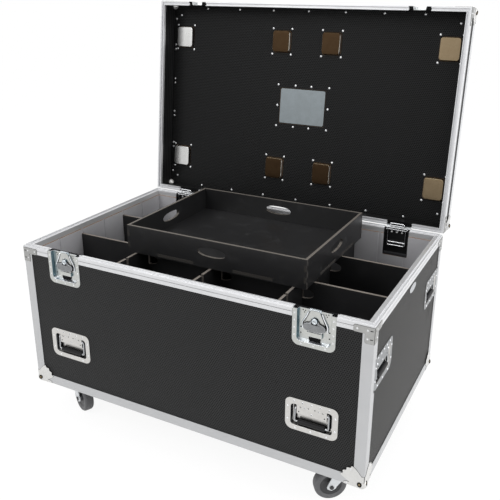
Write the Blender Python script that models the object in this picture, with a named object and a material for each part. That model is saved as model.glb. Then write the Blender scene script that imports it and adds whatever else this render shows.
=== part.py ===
"""A road case on casters: plywood walls in aluminium extrusions, a hinged lid and a loose tray.

Metres, +Z up. The origin is the middle of the floor panel's underside. The latches and the
front handles are at -Y, the hinges are at +Y, and the lid stands open.
"""

import math

import bmesh
import bpy
from mathutils import Matrix, Vector
from mathutils.geometry import tessellate_polygon

# Whole case
CASE_W = 1.219            # outside width over the extrusions
CASE_D = 0.762            # outside depth over the extrusions
BASE_H = 0.514            # underside of the floor panel to the base rim
LID_H = 0.096             # lid rim to the lid's outer face
LID_OPEN = math.radians(96.3)
GAP = 0.0003              # clearance between pieces that touch
PARTING = 0.0006          # between the two rims when the lid is shut
OVERRUN = 0.002           # how far a cutter passes what it cuts
LEAST_MITRE_SHARE = 0.5   # the sharpest mitre in a wire, as a cosine

# Sheet goods
ALU = 0.0016              # wall of every extrusion
SHEET = 0.0012            # pressed steel
WALL_PLY = 0.012
FLOOR_PLY = 0.012
LID_PLY = 0.009
LINING = 0.0123

# Extrusions
RIM_W = 0.0240
RIM_TOP = 0.0020
RIM_OUTER_LEG = 0.025
RIM_INNER_LEG = 0.0195
TONGUE_IN = 0.0070        # outer face of the rim to the tongue
TONGUE_W = 0.0040
TONGUE_H = 0.0050
ANGLE_LEG = 0.0330        # the upright corner angles
BOTTOM_LEG = 0.0320       # the angles round the bottom
LID_RIM_W = 0.0156
LID_RIM_LEG = 0.0300
LID_RIM_INNER_LEG = 0.0120
GROOVE_IN = 0.0055        # outer face of the lid rim to its groove
GROOVE_W = 0.0080
GROOVE_H = 0.0065
LID_ANGLE_LEG = 0.0300
LID_TOP_LEG = 0.0250       # the same angle's leg on the lid's outer face

# Dividers and the grooves that take them
PLANK = 0.0090
PLANK_PLAY = 0.0006
PLANK_TOP = 0.4775
KERF_DEPTH = 0.0025
KERF_PITCH_X = 0.0975
KERF_PITCH_Y = 0.119
KERF_FROM_CORNER = 0.050  # at least this much plain lining beside a corner
KERF_SHIFT_Y = -0.005     # the rows of grooves sit a little forward of the middle
CROSS_STEP = 3            # a cross plank in every third groove
PLANK_HOLE_W = 0.086
PLANK_HOLE_H = 0.034
PLANK_HOLE_DROP = 0.0435  # plank top to the middle of its holes

# Tray
TRAY_W = 0.660
TRAY_D = 0.500
TRAY_H = 0.096
TRAY_PLY = 0.009
TRAY_X = 0.005
TRAY_FROM_REAR = 0.044     # lining to the tray
TRAY_FLOOR_UP = 0.0047    # lower edge of the walls to the tray's floor
HANDHOLE_W = 0.100
HANDHOLE_H = 0.030
HANDHOLE_UP = 0.0555      # lower edge of the walls to the middle of the hand holes

# Handles
HANDLE_W = 0.162
HANDLE_H = 0.105
HANDLE_TOP_R = 0.018
HANDLE_LOW_R = 0.022
RECESS_W = 0.128
RECESS_H = 0.070
RECESS_R = 0.010
RECESS_UP = -0.0015       # middle of the dish to the middle of its recess
RECESS_DRAFT = 0.0015
DISH_DEPTH = 0.0125       # outside of the case to the floor of every pressed dish
FLANGE_IN = 0.0004        # outside of the case to the face of every pressed flange
FRONT_HANDLE_FROM_END = 0.1675
FRONT_HANDLE_Z = 0.178
SIDE_HANDLE_FROM_CORNER = 0.107
SIDE_HANDLE_DROP = 0.164  # top of the base to the middle of a side handle
PIVOT_UP = 0.0200         # middle of the dish to the bail's pivot
PIVOT_IN = 0.0070
BAIL_ARM = 0.0440
BAIL_HALF = 0.0520
BAIL_WIRE = 0.0030
BAIL_BEND = 0.0060
COVER_HALF = 0.0465       # the plate over the springs, between the bail's ends
COVER_FRONT = 0.0030
COVER_DROP = 0.0180       # pivot to the lower edge of that plate
GRIP_R = 0.0075
GRIP_HALF = 0.0425
GRIP_IN = 0.0045

# Latches
LATCH_FROM_END = 0.170
LATCH_W = 0.128
LATCH_H = 0.110
LATCH_RECESS_W = 0.100
LATCH_RECESS_H = 0.096
LATCH_R = 0.020
LATCH_RECESS_R = 0.012
HOOK_HALF = 0.0170
HOOK_T = 0.0020
HOOK_RISE = 0.0040        # above the rim at rest
HOOK_DROP = 0.0620        # below the boss
HOOK_TRAVEL = 0.0120
LIP_HALF = 0.0120
LIP_H = 0.0030
LIP_OUT = 0.0040
WINDOW_W = 0.0120
WINDOW_H = 0.0090
WINDOW_DROP = 0.0110      # rim to the middle of the hook's window
BOSS_DROP = 0.0300        # rim to the middle of the boss
BOSS_R = 0.0085
BOSS_IN = 0.0030
BOSS_CHAMFER = 0.0012
SPINDLE_R = 0.0035
WING_IN = 0.0045
WING_T = 0.0040
WING_HALF = 0.0330
WING_DROP = 0.0350
EAR_IN = 0.0094
EAR_UP = 0.0025
WING_CLEAR = 0.0105
# One half of the wing's edge, as shares of its half width and of its drop
WING_EDGE_SHARES = (
    (0.55, 0.04), (0.85, 0.10), (1.00, 0.28), (0.97, 0.52), (0.75, 0.86), (0.48, 1.00), (0.20, 0.90),
)
SPINDLE_END_SHARE = 0.1   # the spindle's flat end, as a share of its radius

# Latch keepers on the lid
KEEPER_W = 0.076
KEEPER_H = 0.050
KEEPER_RECESS_W = 0.044
KEEPER_RECESS_H = 0.036
KEEPER_R = 0.010
KEEPER_RECESS_R = 0.006

# Hinges and lid stays
HINGE_FROM_END = 0.1595
HINGE_W = 0.090
AXIS_OUT = 0.0035         # outside of the rear wall to the hinge axis
KNUCKLE_R = 0.0045
KNUCKLE_BORE = 0.0023
PIN_R = 0.0019
PIN_PROUD = 0.0005
KNUCKLES = 5
KNUCKLE_GAP = 0.0004
LEAF_T = 0.0015
LEAF_IN = 0.0001
LEAF_H = 0.0480
LEAF_CLEAR = 0.0034       # hinge axis to the main edge of either leaf
TAB_OVER = 0.0001         # how much thicker a knuckle's tab is than its leaf
TAB_H = 0.0060
HINGE_DISH_H = 0.0970
HINGE_DISH_DROP = 0.0030  # rim to the top of the dish
HINGE_DISH_FACE = 0.0255
HINGE_DISH_R = 0.004
STAY_WIRE = 0.0024
STAY_DROP = 0.0075        # rim to the first bar
STAY_PAIR = 0.0090        # between the two upper bars
STAY_LOW_DROP = 0.0560    # rim to the third bar
STAY_LOW_PAIR = 0.0120    # between the two lower bars
STAY_SIDES = 6
STAY_IN = 0.0215
WEB_END = 0.0186          # how far in the strip of web behind each hinge reaches

# Side badge, left blank
BADGE_W = 0.070
BADGE_H = 0.026
BADGE_T = 0.0022
BADGE_Y = 0.003
BADGE_DROP = 0.048
BADGE_SIDES = 16

# Ball corners and corner braces
BALL_R = 0.0165
BALL_IN = 0.0095
BALL_SIDES = 10
BALL_TURN = math.radians(11)
BALL_BANDS = 7
EAR_REACH = 0.048
EAR_T = 0.0015
EAR_START = 0.012
EAR_LOBE_SHARE = 0.12
BRACE_ARM = 0.058
BRACE_BAND = 0.020
BRACE_DROP = 0.048
LID_BRACE_DROP = 0.036
BRACE_POST = 0.026
BRACE_T = 0.0010
BRACE_BELOW = 0.0060      # rim to the brace

# Lid fittings
CUP_W = 0.082
CUP_L = 0.076
CUP_R = 0.012
CUP_FLANGE = 0.012
CUP_PROUD = 0.012         # how far a cup's back stands into the lid
CUP_DRAFT = 0.004
CUP_INNER_X = 0.1023
CUP_FROM_END = 0.0692
CUP_FROM_REAR = 0.1385
CUP_FROM_FRONT = 0.133
LABEL_W = 0.190
LABEL_L = 0.137
LABEL_FORWARD = 0.0054     # middle of the lid to the middle of the label dish
LABEL_R = 0.006
LABEL_PROUD = 0.0020
LABEL_DRAFT = 0.002

# Rivets
RIVET_R = 0.0045
RIVET_H = 0.0016
RIVET_SIDES = 5
RIVET_TOP_SHARE = 0.55

# Casters
FLOOR_Z = -0.1319
WHEEL_R = 0.0508
WHEEL_W = 0.035
WHEEL_SIDES = 20
TREAD_SHOULDER = 0.005
HUB_R = 0.0330
HUB_IN = 0.0040
HUB_BOSS_SHARE = 0.45     # raised middle of the hub, as a share of HUB_R
AXLE_R = 0.0050
AXLE_BORE = 0.0058
TRAIL = 0.040
CASTER_FROM_END = 0.095
CASTER_FROM_FRONT = 0.096
PLATE_W = 0.100
PLATE_L = 0.085
PLATE_T = 0.003
PLATE_R = 0.006
RACE_R = 0.030
RACE_H = 0.0105
RACE_TAPER = 0.006
RACE_SIDES = 16
FORK_T = 0.003
FORK_CLEAR = 0.0035
CROWN_HALF = 0.027
CROWN_BEND = 0.006
FORK_END = 0.0120
FORK_TIP_SHARE = 0.35     # half width of a leg at its tip, as a share of FORK_END
FORK_ROUND_SHARES = (0.60, 0.85)  # drop below the axle and half width where the tip rounds off
BOLT_R = 0.0070
BOLT_H = 0.0045
TURN_FRONT_LEFT = math.radians(-26.0)
TURN_FRONT_RIGHT = math.radians(-144.1)
TURN_REAR_LEFT = math.radians(150.0)
TURN_REAR_RIGHT = math.radians(196.0)

# Places that follow from the sizes above
HALF_W = CASE_W / 2
HALF_D = CASE_D / 2
PANEL_IN = ALU + GAP
WALL_IN = PANEL_IN + WALL_PLY
LINING_OUT = WALL_IN + GAP
LINING_IN = LINING_OUT + LINING
KERF_IN = LINING_IN - KERF_DEPTH
KERF_W = PLANK + PLANK_PLAY
PLANK_END = KERF_IN + GAP
FOOT = ALU + GAP
WALL_TOP = BASE_H - RIM_TOP - GAP
LINING_TOP = BASE_H - RIM_INNER_LEG - GAP
LINING_FOOT = FLOOR_PLY + GAP
FLANGE_BACK = FLANGE_IN + SHEET
DISH_BACK = DISH_DEPTH + SHEET
LID_FOOT = BASE_H + PARTING
LID_TOP = LID_FOOT + LID_H
LID_WALL_IN = PANEL_IN + LID_PLY
LID_WALL_FOOT = LID_FOOT + GROOVE_H + ALU + GAP
LID_PANEL_OUT = LID_TOP - PANEL_IN
LID_PANEL_IN = LID_PANEL_OUT - LID_PLY
AXIS_Y = HALF_D + AXIS_OUT
AXIS_Z = BASE_H + PARTING / 2
LID_AXIS = Vector((0.0, AXIS_Y, AXIS_Z))
KEEPER_GAP_HALF = KEEPER_W / 2 + GAP
HINGE_GAP_HALF = HINGE_W / 2 + 2 * GAP
HOOK_IN = DISH_DEPTH - GAP - HOOK_T
BOSS_Z = BASE_H - BOSS_DROP
TRAY_FOOT = PLANK_TOP + GAP
PLATE_TOP = -GAP
PLATE_FOOT = PLATE_TOP - PLATE_T
RACE_FOOT = PLATE_FOOT - RACE_H
CROWN_TOP = RACE_FOOT - GAP
WHEEL_Z = FLOOR_Z + WHEEL_R
FRONT_HANDLE_X = HALF_W - FRONT_HANDLE_FROM_END
SIDE_HANDLE_Y = HALF_D - SIDE_HANDLE_FROM_CORNER
SIDE_HANDLE_Z = BASE_H - SIDE_HANDLE_DROP
LATCH_X = HALF_W - LATCH_FROM_END
HINGE_X = HALF_W - HINGE_FROM_END
BADGE_Z = BASE_H - BADGE_DROP
CUP_X = (CUP_INNER_X, HALF_W - CUP_FROM_END)
CUP_S = (CUP_FROM_REAR, CASE_D - CUP_FROM_FRONT)  # from the rear edge of the lid
LABEL_S = HALF_D + LABEL_FORWARD
CASTER_X = HALF_W - CASTER_FROM_END
CASTER_Y = HALF_D - CASTER_FROM_FRONT
TRAY_Y = HALF_D - LINING_IN - TRAY_FROM_REAR - TRAY_D / 2
KERFS_X_SIDE = int((HALF_W - LINING_IN - KERF_FROM_CORNER) / KERF_PITCH_X)
KERFS_Y_SIDE = int((HALF_D - LINING_IN - KERF_FROM_CORNER) / KERF_PITCH_Y)
KERFS_X = [k * KERF_PITCH_X for k in range(-KERFS_X_SIDE, KERFS_X_SIDE + 1)]
KERFS_Y = [KERF_SHIFT_Y + k * KERF_PITCH_Y for k in range(-KERFS_Y_SIDE, KERFS_Y_SIDE + 1)]
CROSS_X = [k * CROSS_STEP * KERF_PITCH_X for k in (-1, 0, 1)]
LONG_Y = [KERF_SHIFT_Y + k * KERF_PITCH_Y for k in (-1, 1)]

# Finish of each kind of surface: colour, roughness, metallic value
FINISHES = {
    "panel": ((0.035, 0.035, 0.037), 0.55, 0.0),
    "lining": ((0.14, 0.14, 0.145), 0.45, 0.0),
    "extrusion": ((0.62, 0.63, 0.65), 0.38, 1.0),
    "zinc": ((0.55, 0.56, 0.58), 0.35, 1.0),
    "chrome": ((0.75, 0.76, 0.78), 0.18, 1.0),
    "steel_black": ((0.02, 0.02, 0.022), 0.45, 0.0),
    "rubber_black": ((0.015, 0.015, 0.016), 0.6, 0.0),
    "label_steel": ((0.24, 0.27, 0.32), 0.4, 1.0),
    "badge": ((0.55, 0.56, 0.58), 0.3, 1.0),
    "divider": ((0.013, 0.013, 0.013), 0.5, 0.0),
    "tyre": ((0.16, 0.16, 0.165), 0.65, 0.0),
}


# Shapes: each returns the points and the faces of one closed solid

def block(low, high):
    """A box between two corners."""
    outline = [(low[0], low[1]), (high[0], low[1]), (high[0], high[1]), (low[0], high[1])]
    return prism(outline, lambda a, b, t: (a, b, t), low[2], high[2])


def prism(outline, place, start, end, holes=()):
    """An outline, with any holes, carried from start to end; place gives a point's position."""
    loops = [outline, *holes]
    flat = [point for loop in loops for point in loop]
    count = len(flat)
    points = [place(a, b, start) for a, b in flat] + [place(a, b, end) for a, b in flat]
    faces = []
    base = 0
    for loop in loops:
        size = len(loop)
        for i in range(size):
            j = (i + 1) % size
            faces.append((base + i, base + j, count + base + j, count + base + i))
        base += size
    if holes:
        for corners in tessellate_polygon([[Vector((a, b, 0.0)) for a, b in loop] for loop in loops]):
            faces.append(tuple(corners))
            faces.append(tuple(i + count for i in corners))
    else:
        faces.append(tuple(range(count)))
        faces.append(tuple(range(count, 2 * count)))
    return points, faces


def loft(rings, closed=False):
    """Rings of equal length joined in turn, capped at both ends unless the last meets the first."""
    size = len(rings[0])
    points = [point for ring in rings for point in ring]
    faces = []
    last = len(rings) if closed else len(rings) - 1
    for k in range(last):
        low = k * size
        high = ((k + 1) % len(rings)) * size
        for i in range(size):
            j = (i + 1) % size
            faces.append((low + i, low + j, high + j, high + i))
    if not closed:
        faces.append(tuple(range(size)))
        faces.append(tuple(range(len(points) - size, len(points))))
    return points, faces


def lathe(profile, sides, place, turn=0.0, closed=False):
    """A profile of (radius, height) turned round an axis; place maps the turned point."""
    rings = []
    for radius, height in profile:
        ring = []
        for k in range(sides):
            angle = turn + math.tau * k / sides
            ring.append(place(radius * math.cos(angle), radius * math.sin(angle), height))
        rings.append(ring)
    return loft(rings, closed)


def wire(path, radius, sides):
    """A round wire along a path of points, its section square to the path at every point."""
    path = [Vector(point) for point in path]
    heading = (path[1] - path[0]).normalized()
    side = heading.orthogonal().normalized()
    rings = []
    for i, point in enumerate(path):
        before = (point - path[i - 1]).normalized() if i else heading
        after = (path[i + 1] - point).normalized() if i + 1 < len(path) else before
        along = (before + after).normalized()
        spread = 1.0 / max(along.dot(after), LEAST_MITRE_SHARE)
        side = (side - along * side.dot(along)).normalized()
        bend = (after - before)
        across = along.cross(side)
        ring = []
        for k in range(sides):
            angle = math.tau * k / sides
            offset = side * (radius * math.cos(angle)) + across * (radius * math.sin(angle))
            if bend.length > GAP:
                out = bend.normalized()
                offset += out * (offset.dot(out) * (spread - 1.0))
            ring.append(point + offset)
        rings.append(ring)
    return loft(rings)


def arc(centre, radius, first, last, steps):
    """Points on an arc between two angles, both ends included."""
    return [
        (centre[0] + radius * math.cos(first + (last - first) * k / steps),
         centre[1] + radius * math.sin(first + (last - first) * k / steps))
        for k in range(steps + 1)
    ]


def rounded(centre, width, height, low_r, top_r, steps=2):
    """A rounded rectangle, anticlockwise from its lower left corner."""
    right = math.pi / 2
    corners = (
        (-1, -1, low_r, 2 * right), (1, -1, low_r, 3 * right),
        (1, 1, top_r, 0.0), (-1, 1, top_r, right),
    )
    points = []
    for side, level, radius, angle in corners:
        middle = (centre[0] + side * (width / 2 - radius), centre[1] + level * (height / 2 - radius))
        points += arc(middle, radius, angle, angle + right, steps)
    return points


def hanging(width, drop, radius, top, steps=3):
    """An open U from the top left, round two lower corners, to the top right."""
    right = math.pi / 2
    half = width / 2
    foot = top - drop
    points = [(-half, top)]
    points += arc((-half + radius, foot + radius), radius, 2 * right, 3 * right, steps)
    points += arc((half - radius, foot + radius), radius, 3 * right, 4 * right, steps)
    points.append((half, top))
    return points


def pressing(floor, mouth, flange, back, floor_back, depths, place):
    """A pressed dish: outlines of its floor, mouth and flange, then of its back."""
    front_in, flange_back, floor_in, floor_out = depths
    levels = (
        (floor, floor_in), (mouth, front_in), (flange, front_in),
        (flange, flange_back), (back, flange_back), (floor_back, floor_out),
    )
    return loft([[place(a, b, depth) for a, b in outline] for outline, depth in levels])


def open_pressing(flange, mouth, back, depths, place):
    """A pressed dish that is open along one edge, where its three outlines start and end."""
    front_in, flange_back, floor_in, floor_out = depths
    layers = (
        (flange, front_in), (flange, flange_back), (back, flange_back),
        (back, floor_out), (mouth, floor_in), (mouth, front_in),
    )
    size = len(flange)
    points = [place(a, b, depth) for outline, depth in layers for a, b in outline]
    at = [[k * size + i for i in range(size)] for k in range(len(layers))]
    faces = []
    for first, second in ((0, 1), (2, 3), (4, 5)):
        for i in range(size - 1):
            faces.append((at[first][i], at[first][i + 1], at[second][i + 1], at[second][i]))
    faces.append(tuple(at[0] + at[5][::-1]))
    faces.append(tuple(at[1] + at[2][::-1]))
    faces.append(tuple(at[3]))
    faces.append(tuple(at[4]))
    outside = [at[k][0] for k in range(4)] + [at[k][-1] for k in range(3, -1, -1)]
    faces.append(tuple(outside + [at[5][-1], at[4][-1], at[4][0], at[5][0]]))
    return points, faces


def run(profile, stations, closed=False):
    """A profile of (inward, height) carried round the case; each station is a point and a mitre."""
    rings = []
    for (x, y), (mx, my) in stations:
        rings.append([(x + mx * inward, y + my * inward, height) for inward, height in profile])
    return loft(rings, closed)


# Objects

def finish(name, kind):
    """A material of its own for one object."""
    colour, roughness, metallic = FINISHES[kind]
    material = bpy.data.materials.new(name)
    material.use_nodes = True
    shader = material.node_tree.nodes["Principled BSDF"]
    shader.inputs["Base Color"].default_value = (*colour, 1.0)
    shader.inputs["Roughness"].default_value = roughness
    shader.inputs["Metallic"].default_value = metallic
    return material


def mesh_of(name, solids, origin):
    """One mesh of closed solids, its points counted from origin, all faces pointing out."""
    whole = bmesh.new()
    mesh = bpy.data.meshes.new(name)
    for points, faces in solids:
        work = bmesh.new()
        corners = [work.verts.new(Vector(point) - origin) for point in points]
        for face in faces:
            work.faces.new([corners[i] for i in face])
        bmesh.ops.recalc_face_normals(work, faces=work.faces)
        if work.calc_volume(signed=True) < 0.0:
            bmesh.ops.reverse_faces(work, faces=work.faces)
        work.to_mesh(mesh)
        work.free()
        whole.from_mesh(mesh)
    whole.to_mesh(mesh)
    whole.free()
    mesh.shade_smooth()
    mesh.set_sharp_from_angle(angle=math.radians(35))
    return mesh


def add(name, mesh, location=(0.0, 0.0, 0.0), turn=0.0, parent=None):
    """Put a mesh into the scene as an object."""
    obj = bpy.data.objects.new(name, mesh)
    obj.location = location
    obj.rotation_euler = (0.0, 0.0, turn)
    obj.parent = parent
    bpy.context.scene.collection.objects.link(obj)
    return obj


def piece(name, kind, solids, origin=Vector(), parent=None, steps=()):
    """A named sub-part; under a parent, its origin is the parent's. Steps join or cut in turn."""
    mesh = shaped(name, solids, steps, origin)
    mesh.materials.append(finish(name, kind))
    return add(name, mesh, (0.0, 0.0, 0.0) if parent else origin, 0.0, parent)


def shaped(name, solids, steps, origin=Vector()):
    """A mesh of solids after each Boolean step of (operation, tool); a tool is solids or a mesh."""
    mesh = mesh_of(name, solids, origin)
    if not steps:
        return mesh
    body = add(name + "_body", mesh)
    tools = []
    for operation, other in steps:
        if isinstance(other, list):
            other = mesh_of(name + "_tool", other, origin)
        tool = add(name + "_tool", other)
        modifier = body.modifiers.new(operation, "BOOLEAN")
        modifier.operation = operation
        modifier.object = tool
        modifier.solver = "EXACT"
        tools.append(tool)
    view = bpy.context.evaluated_depsgraph_get()
    result = bpy.data.meshes.new_from_object(body.evaluated_get(view))
    result.name = name
    for obj in [body, *tools]:
        bpy.data.objects.remove(obj, do_unlink=True)
    result.shade_smooth()
    result.set_sharp_from_angle(angle=math.radians(35))
    return result


def copy_of(mesh, name, kind, location, turn):
    """Another object of the same shape with a material of its own."""
    own = mesh.copy()
    own.name = name
    own.materials.append(finish(name, kind))
    return add(name, own, location, turn)


# Places on the walls: a along the wall, b up, depth inward from the outside of the case

def front(a, b, depth):
    return (a, -HALF_D + depth, b)


def rear(a, b, depth):
    return (a, HALF_D - depth, b)


def right(a, b, depth):
    return (HALF_W - depth, a, b)


def left(a, b, depth):
    return (-HALF_W + depth, a, b)


def lid_top(a, b, depth):
    """A place on the lid's outer face, with b from the rear edge of the lid."""
    return (a, HALF_D - b, LID_TOP - depth)


HANDLES = (
    ("front_left", (-FRONT_HANDLE_X, -HALF_D, FRONT_HANDLE_Z), 0.0),
    ("front_right", (FRONT_HANDLE_X, -HALF_D, FRONT_HANDLE_Z), 0.0),
    ("right_front", (HALF_W, -SIDE_HANDLE_Y, SIDE_HANDLE_Z), math.pi / 2),
    ("right_rear", (HALF_W, SIDE_HANDLE_Y, SIDE_HANDLE_Z), math.pi / 2),
    ("left_front", (-HALF_W, -SIDE_HANDLE_Y, SIDE_HANDLE_Z), -math.pi / 2),
    ("left_rear", (-HALF_W, SIDE_HANDLE_Y, SIDE_HANDLE_Z), -math.pi / 2),
)
CASTERS = (
    ("front_left", -CASTER_X, -CASTER_Y, TURN_FRONT_LEFT),
    ("front_right", CASTER_X, -CASTER_Y, TURN_FRONT_RIGHT),
    ("rear_left", -CASTER_X, CASTER_Y, TURN_REAR_LEFT),
    ("rear_right", CASTER_X, CASTER_Y, TURN_REAR_RIGHT),
)
SIDES = (("left", -1), ("right", 1))


def plain(a, b, depth):
    """A fitting's own frame: outward is -Y and the outside of the case is Y = 0."""
    return (a, depth, b)


# Walls, floor and linings

def handle_hole(a, b):
    """The hole in a wall that clears a handle dish's recess."""
    grow = 2 * (SHEET + GAP)
    return rounded((a, b + RECESS_UP), RECESS_W + grow, RECESS_H + grow, RECESS_R, RECESS_R)


def base_panels():
    """Floor, front wall with its latch notches, rear wall and the two side walls."""
    inner_x = HALF_W - WALL_IN - GAP
    inner_y = HALF_D - WALL_IN - GAP
    piece("base_floor_panel", "panel", [block((-inner_x, -inner_y, 0.0), (inner_x, inner_y, FLOOR_PLY))])
    outer_x = HALF_W - PANEL_IN
    notch = LATCH_RECESS_W / 2 + SHEET + GAP
    notch_foot = BASE_H - LATCH_RECESS_H - SHEET - GAP
    outline = [(-outer_x, 0.0), (outer_x, 0.0), (outer_x, WALL_TOP)]
    for centre in (LATCH_X, -LATCH_X):
        outline += [
            (centre + notch, WALL_TOP), (centre + notch, notch_foot),
            (centre - notch, notch_foot), (centre - notch, WALL_TOP),
        ]
    outline.append((-outer_x, WALL_TOP))
    holes = [handle_hole(side * FRONT_HANDLE_X, FRONT_HANDLE_Z) for side in (-1, 1)]
    piece("base_front_wall", "panel", [prism(outline, front, PANEL_IN, WALL_IN, holes)])
    outline = [(-outer_x, 0.0), (outer_x, 0.0), (outer_x, WALL_TOP), (-outer_x, WALL_TOP)]
    piece("base_rear_wall", "panel", [prism(outline, rear, PANEL_IN, WALL_IN)])
    outline = [(-inner_y, 0.0), (inner_y, 0.0), (inner_y, WALL_TOP), (-inner_y, WALL_TOP)]
    holes = [handle_hole(side * SIDE_HANDLE_Y, SIDE_HANDLE_Z) for side in (-1, 1)]
    for name, place in (("left", left), ("right", right)):
        piece("base_" + name + "_wall", "panel", [prism(outline, place, PANEL_IN, WALL_IN, holes)])


def grooved(half, kerfs, inner, place):
    """One inner face of the lining in plan, with its upright grooves, from one corner to the next."""
    outline = [(-half, inner)]
    for kerf in sorted(kerfs):
        outline += [
            (kerf - KERF_W / 2, inner), (kerf - KERF_W / 2, inner + KERF_DEPTH),
            (kerf + KERF_W / 2, inner + KERF_DEPTH), (kerf + KERF_W / 2, inner),
        ]
    return [place(a, b) for a, b in outline]


def lining():
    """The grooved boards inside the walls, with notches at the rear for the hinge dishes."""
    outer_x = HALF_W - LINING_OUT
    outer_y = HALF_D - LINING_OUT
    inner_x = HALF_W - LINING_IN
    inner_y = HALF_D - LINING_IN
    outside = [(-outer_x, -outer_y), (outer_x, -outer_y), (outer_x, outer_y), (-outer_x, outer_y)]
    inside = grooved(inner_x, KERFS_X, inner_y, lambda a, b: (a, -b))
    inside += grooved(inner_y, KERFS_Y, inner_x, lambda a, b: (b, a))
    inside += grooved(inner_x, KERFS_X, inner_y, lambda a, b: (-a, b))
    inside += grooved(inner_y, [-y for y in KERFS_Y], inner_x, lambda a, b: (-b, -a))
    ring = prism(outside, lambda a, b, t: (a, b, t), LINING_FOOT, LINING_TOP, [inside])
    half = HINGE_W / 2 + GAP
    foot = BASE_H - HINGE_DISH_DROP - HINGE_DISH_H - GAP
    cuts = []
    for _, side in SIDES:
        low = (side * HINGE_X - half, HALF_D - LINING_IN - OVERRUN, foot)
        high = (side * HINGE_X + half, HALF_D - LINING_OUT + OVERRUN, LINING_TOP + OVERRUN)
        cuts.append(block(low, high))
    piece("wall_lining", "lining", [ring], steps=[("DIFFERENCE", cuts)])


# Extrusions

def corner_leg(leg):
    """Section of an angle, from the outside of its corner."""
    return [(0.0, 0.0), (leg, 0.0), (leg, ALU), (ALU, ALU), (ALU, leg), (0.0, leg)]


def angle_posts(leg, low, high):
    """The four upright angles at the corners of the case."""
    posts = []
    for sx in (-1, 1):
        for sy in (-1, 1):
            def place(a, b, z, sx=sx, sy=sy):
                return (sx * (HALF_W - a), sy * (HALF_D - b), z)
            posts.append(prism(corner_leg(leg), place, low, high))
    return posts


CORNERS = [
    ((-HALF_W, -HALF_D), (1, 1)), ((HALF_W, -HALF_D), (-1, 1)),
    ((HALF_W, HALF_D), (-1, -1)), ((-HALF_W, HALF_D), (1, -1)),
]


def rim_cuts():
    """Cutters that part the base rim's outside at the latches and at the hinges.

    The inner edge of the rim stays whole at the latches. At the hinges only a strip of its web stays.
    """
    deep = DISH_BACK + 2 * GAP
    far = RIM_W + OVERRUN
    low = BASE_H - RIM_OUTER_LEG - OVERRUN
    high = BASE_H + TONGUE_H + OVERRUN
    web = BASE_H - RIM_TOP - GAP
    latch = [(-OVERRUN, low), (deep, low), (deep, high), (-OVERRUN, high)]
    hinge = [
        (-OVERRUN, low), (far, low), (far, high), (WEB_END, high), (WEB_END, web),
        (deep, web), (deep, high), (-OVERRUN, high),
    ]
    half = LATCH_W / 2 + GAP
    cuts = []
    for _, side in SIDES:
        centre = side * LATCH_X
        cuts.append(prism(latch, lambda u, v, t: front(t, v, u), centre - half, centre + half))
        centre = side * HINGE_X
        cuts.append(prism(
            hinge, lambda u, v, t: rear(t, v, u), centre - HINGE_GAP_HALF, centre + HINGE_GAP_HALF))
    return cuts


def loop_points(profile):
    """A profile carried round the case with mitred corners."""
    return run(profile, CORNERS, True)


def base_extrusions():
    """The frame of angles with its ball corners and braces, and the rim with its tongue."""
    profile = [
        (0.0, -FOOT), (BOTTOM_LEG, -FOOT), (BOTTOM_LEG, -GAP), (ALU, -GAP),
        (ALU, BOTTOM_LEG), (0.0, BOTTOM_LEG),
    ]
    posts = angle_posts(ANGLE_LEG, BOTTOM_LEG - ALU, BASE_H - RIM_OUTER_LEG - GAP)
    frame(
        "base_frame", -FOOT, -1, loop_points(profile), posts, BASE_H - BRACE_BELOW, BRACE_DROP,
        Vector(), None)
    top = BASE_H
    profile = [
        (0.0, top), (TONGUE_IN, top), (TONGUE_IN, top + TONGUE_H),
        (TONGUE_IN + TONGUE_W, top + TONGUE_H), (TONGUE_IN + TONGUE_W, top), (RIM_W, top),
        (RIM_W, top - RIM_INNER_LEG), (RIM_W - ALU, top - RIM_INNER_LEG),
        (RIM_W - ALU, top - RIM_TOP), (ALU, top - RIM_TOP),
        (ALU, top - RIM_OUTER_LEG), (0.0, top - RIM_OUTER_LEG),
    ]
    piece("base_rim", "extrusion", [loop_points(profile)], steps=[("DIFFERENCE", rim_cuts())])


def lid_extrusions(lid):
    """The lid's rim with its groove, and the frame of angles round its outer edge."""
    foot = LID_FOOT
    web = foot + RIM_TOP
    groove_end = GROOVE_IN + GROOVE_W
    groove_top = foot + GROOVE_H + ALU
    profile = [
        (0.0, foot), (GROOVE_IN, foot), (GROOVE_IN, foot + GROOVE_H), (groove_end, foot + GROOVE_H),
        (groove_end, foot), (LID_RIM_W, foot), (LID_RIM_W, foot + LID_RIM_INNER_LEG),
        (LID_RIM_W - ALU, foot + LID_RIM_INNER_LEG), (LID_RIM_W - ALU, groove_top),
        (GROOVE_IN - ALU, groove_top), (GROOVE_IN - ALU, web), (ALU, web),
        (ALU, foot + LID_RIM_LEG), (0.0, foot + LID_RIM_LEG),
    ]
    deep = DISH_BACK + 2 * GAP
    high = foot + LID_RIM_LEG + OVERRUN
    cuts = []
    for place, centre_x, half in ((front, LATCH_X, KEEPER_GAP_HALF), (rear, HINGE_X, HINGE_GAP_HALF)):
        for _, side in SIDES:
            low_corner = place(side * centre_x - half, foot - OVERRUN, -OVERRUN)
            high_corner = place(side * centre_x + half, high, deep)
            cuts.append(block(low_corner, high_corner))
    piece("lid_rim", "extrusion", [loop_points(profile)], LID_AXIS, lid, [("DIFFERENCE", cuts)])
    top = LID_TOP
    profile = [
        (0.0, top), (LID_TOP_LEG, top), (LID_TOP_LEG, top - ALU), (ALU, top - ALU),
        (ALU, top - LID_ANGLE_LEG), (0.0, top - LID_ANGLE_LEG),
    ]
    posts = angle_posts(LID_ANGLE_LEG, foot + LID_RIM_LEG + GAP, top - LID_ANGLE_LEG + ALU)
    frame(
        "lid_frame", LID_TOP, 1, loop_points(profile), posts, LID_FOOT + BRACE_BELOW, LID_BRACE_DROP,
        LID_AXIS, lid)


# Ball corners and braces

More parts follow.
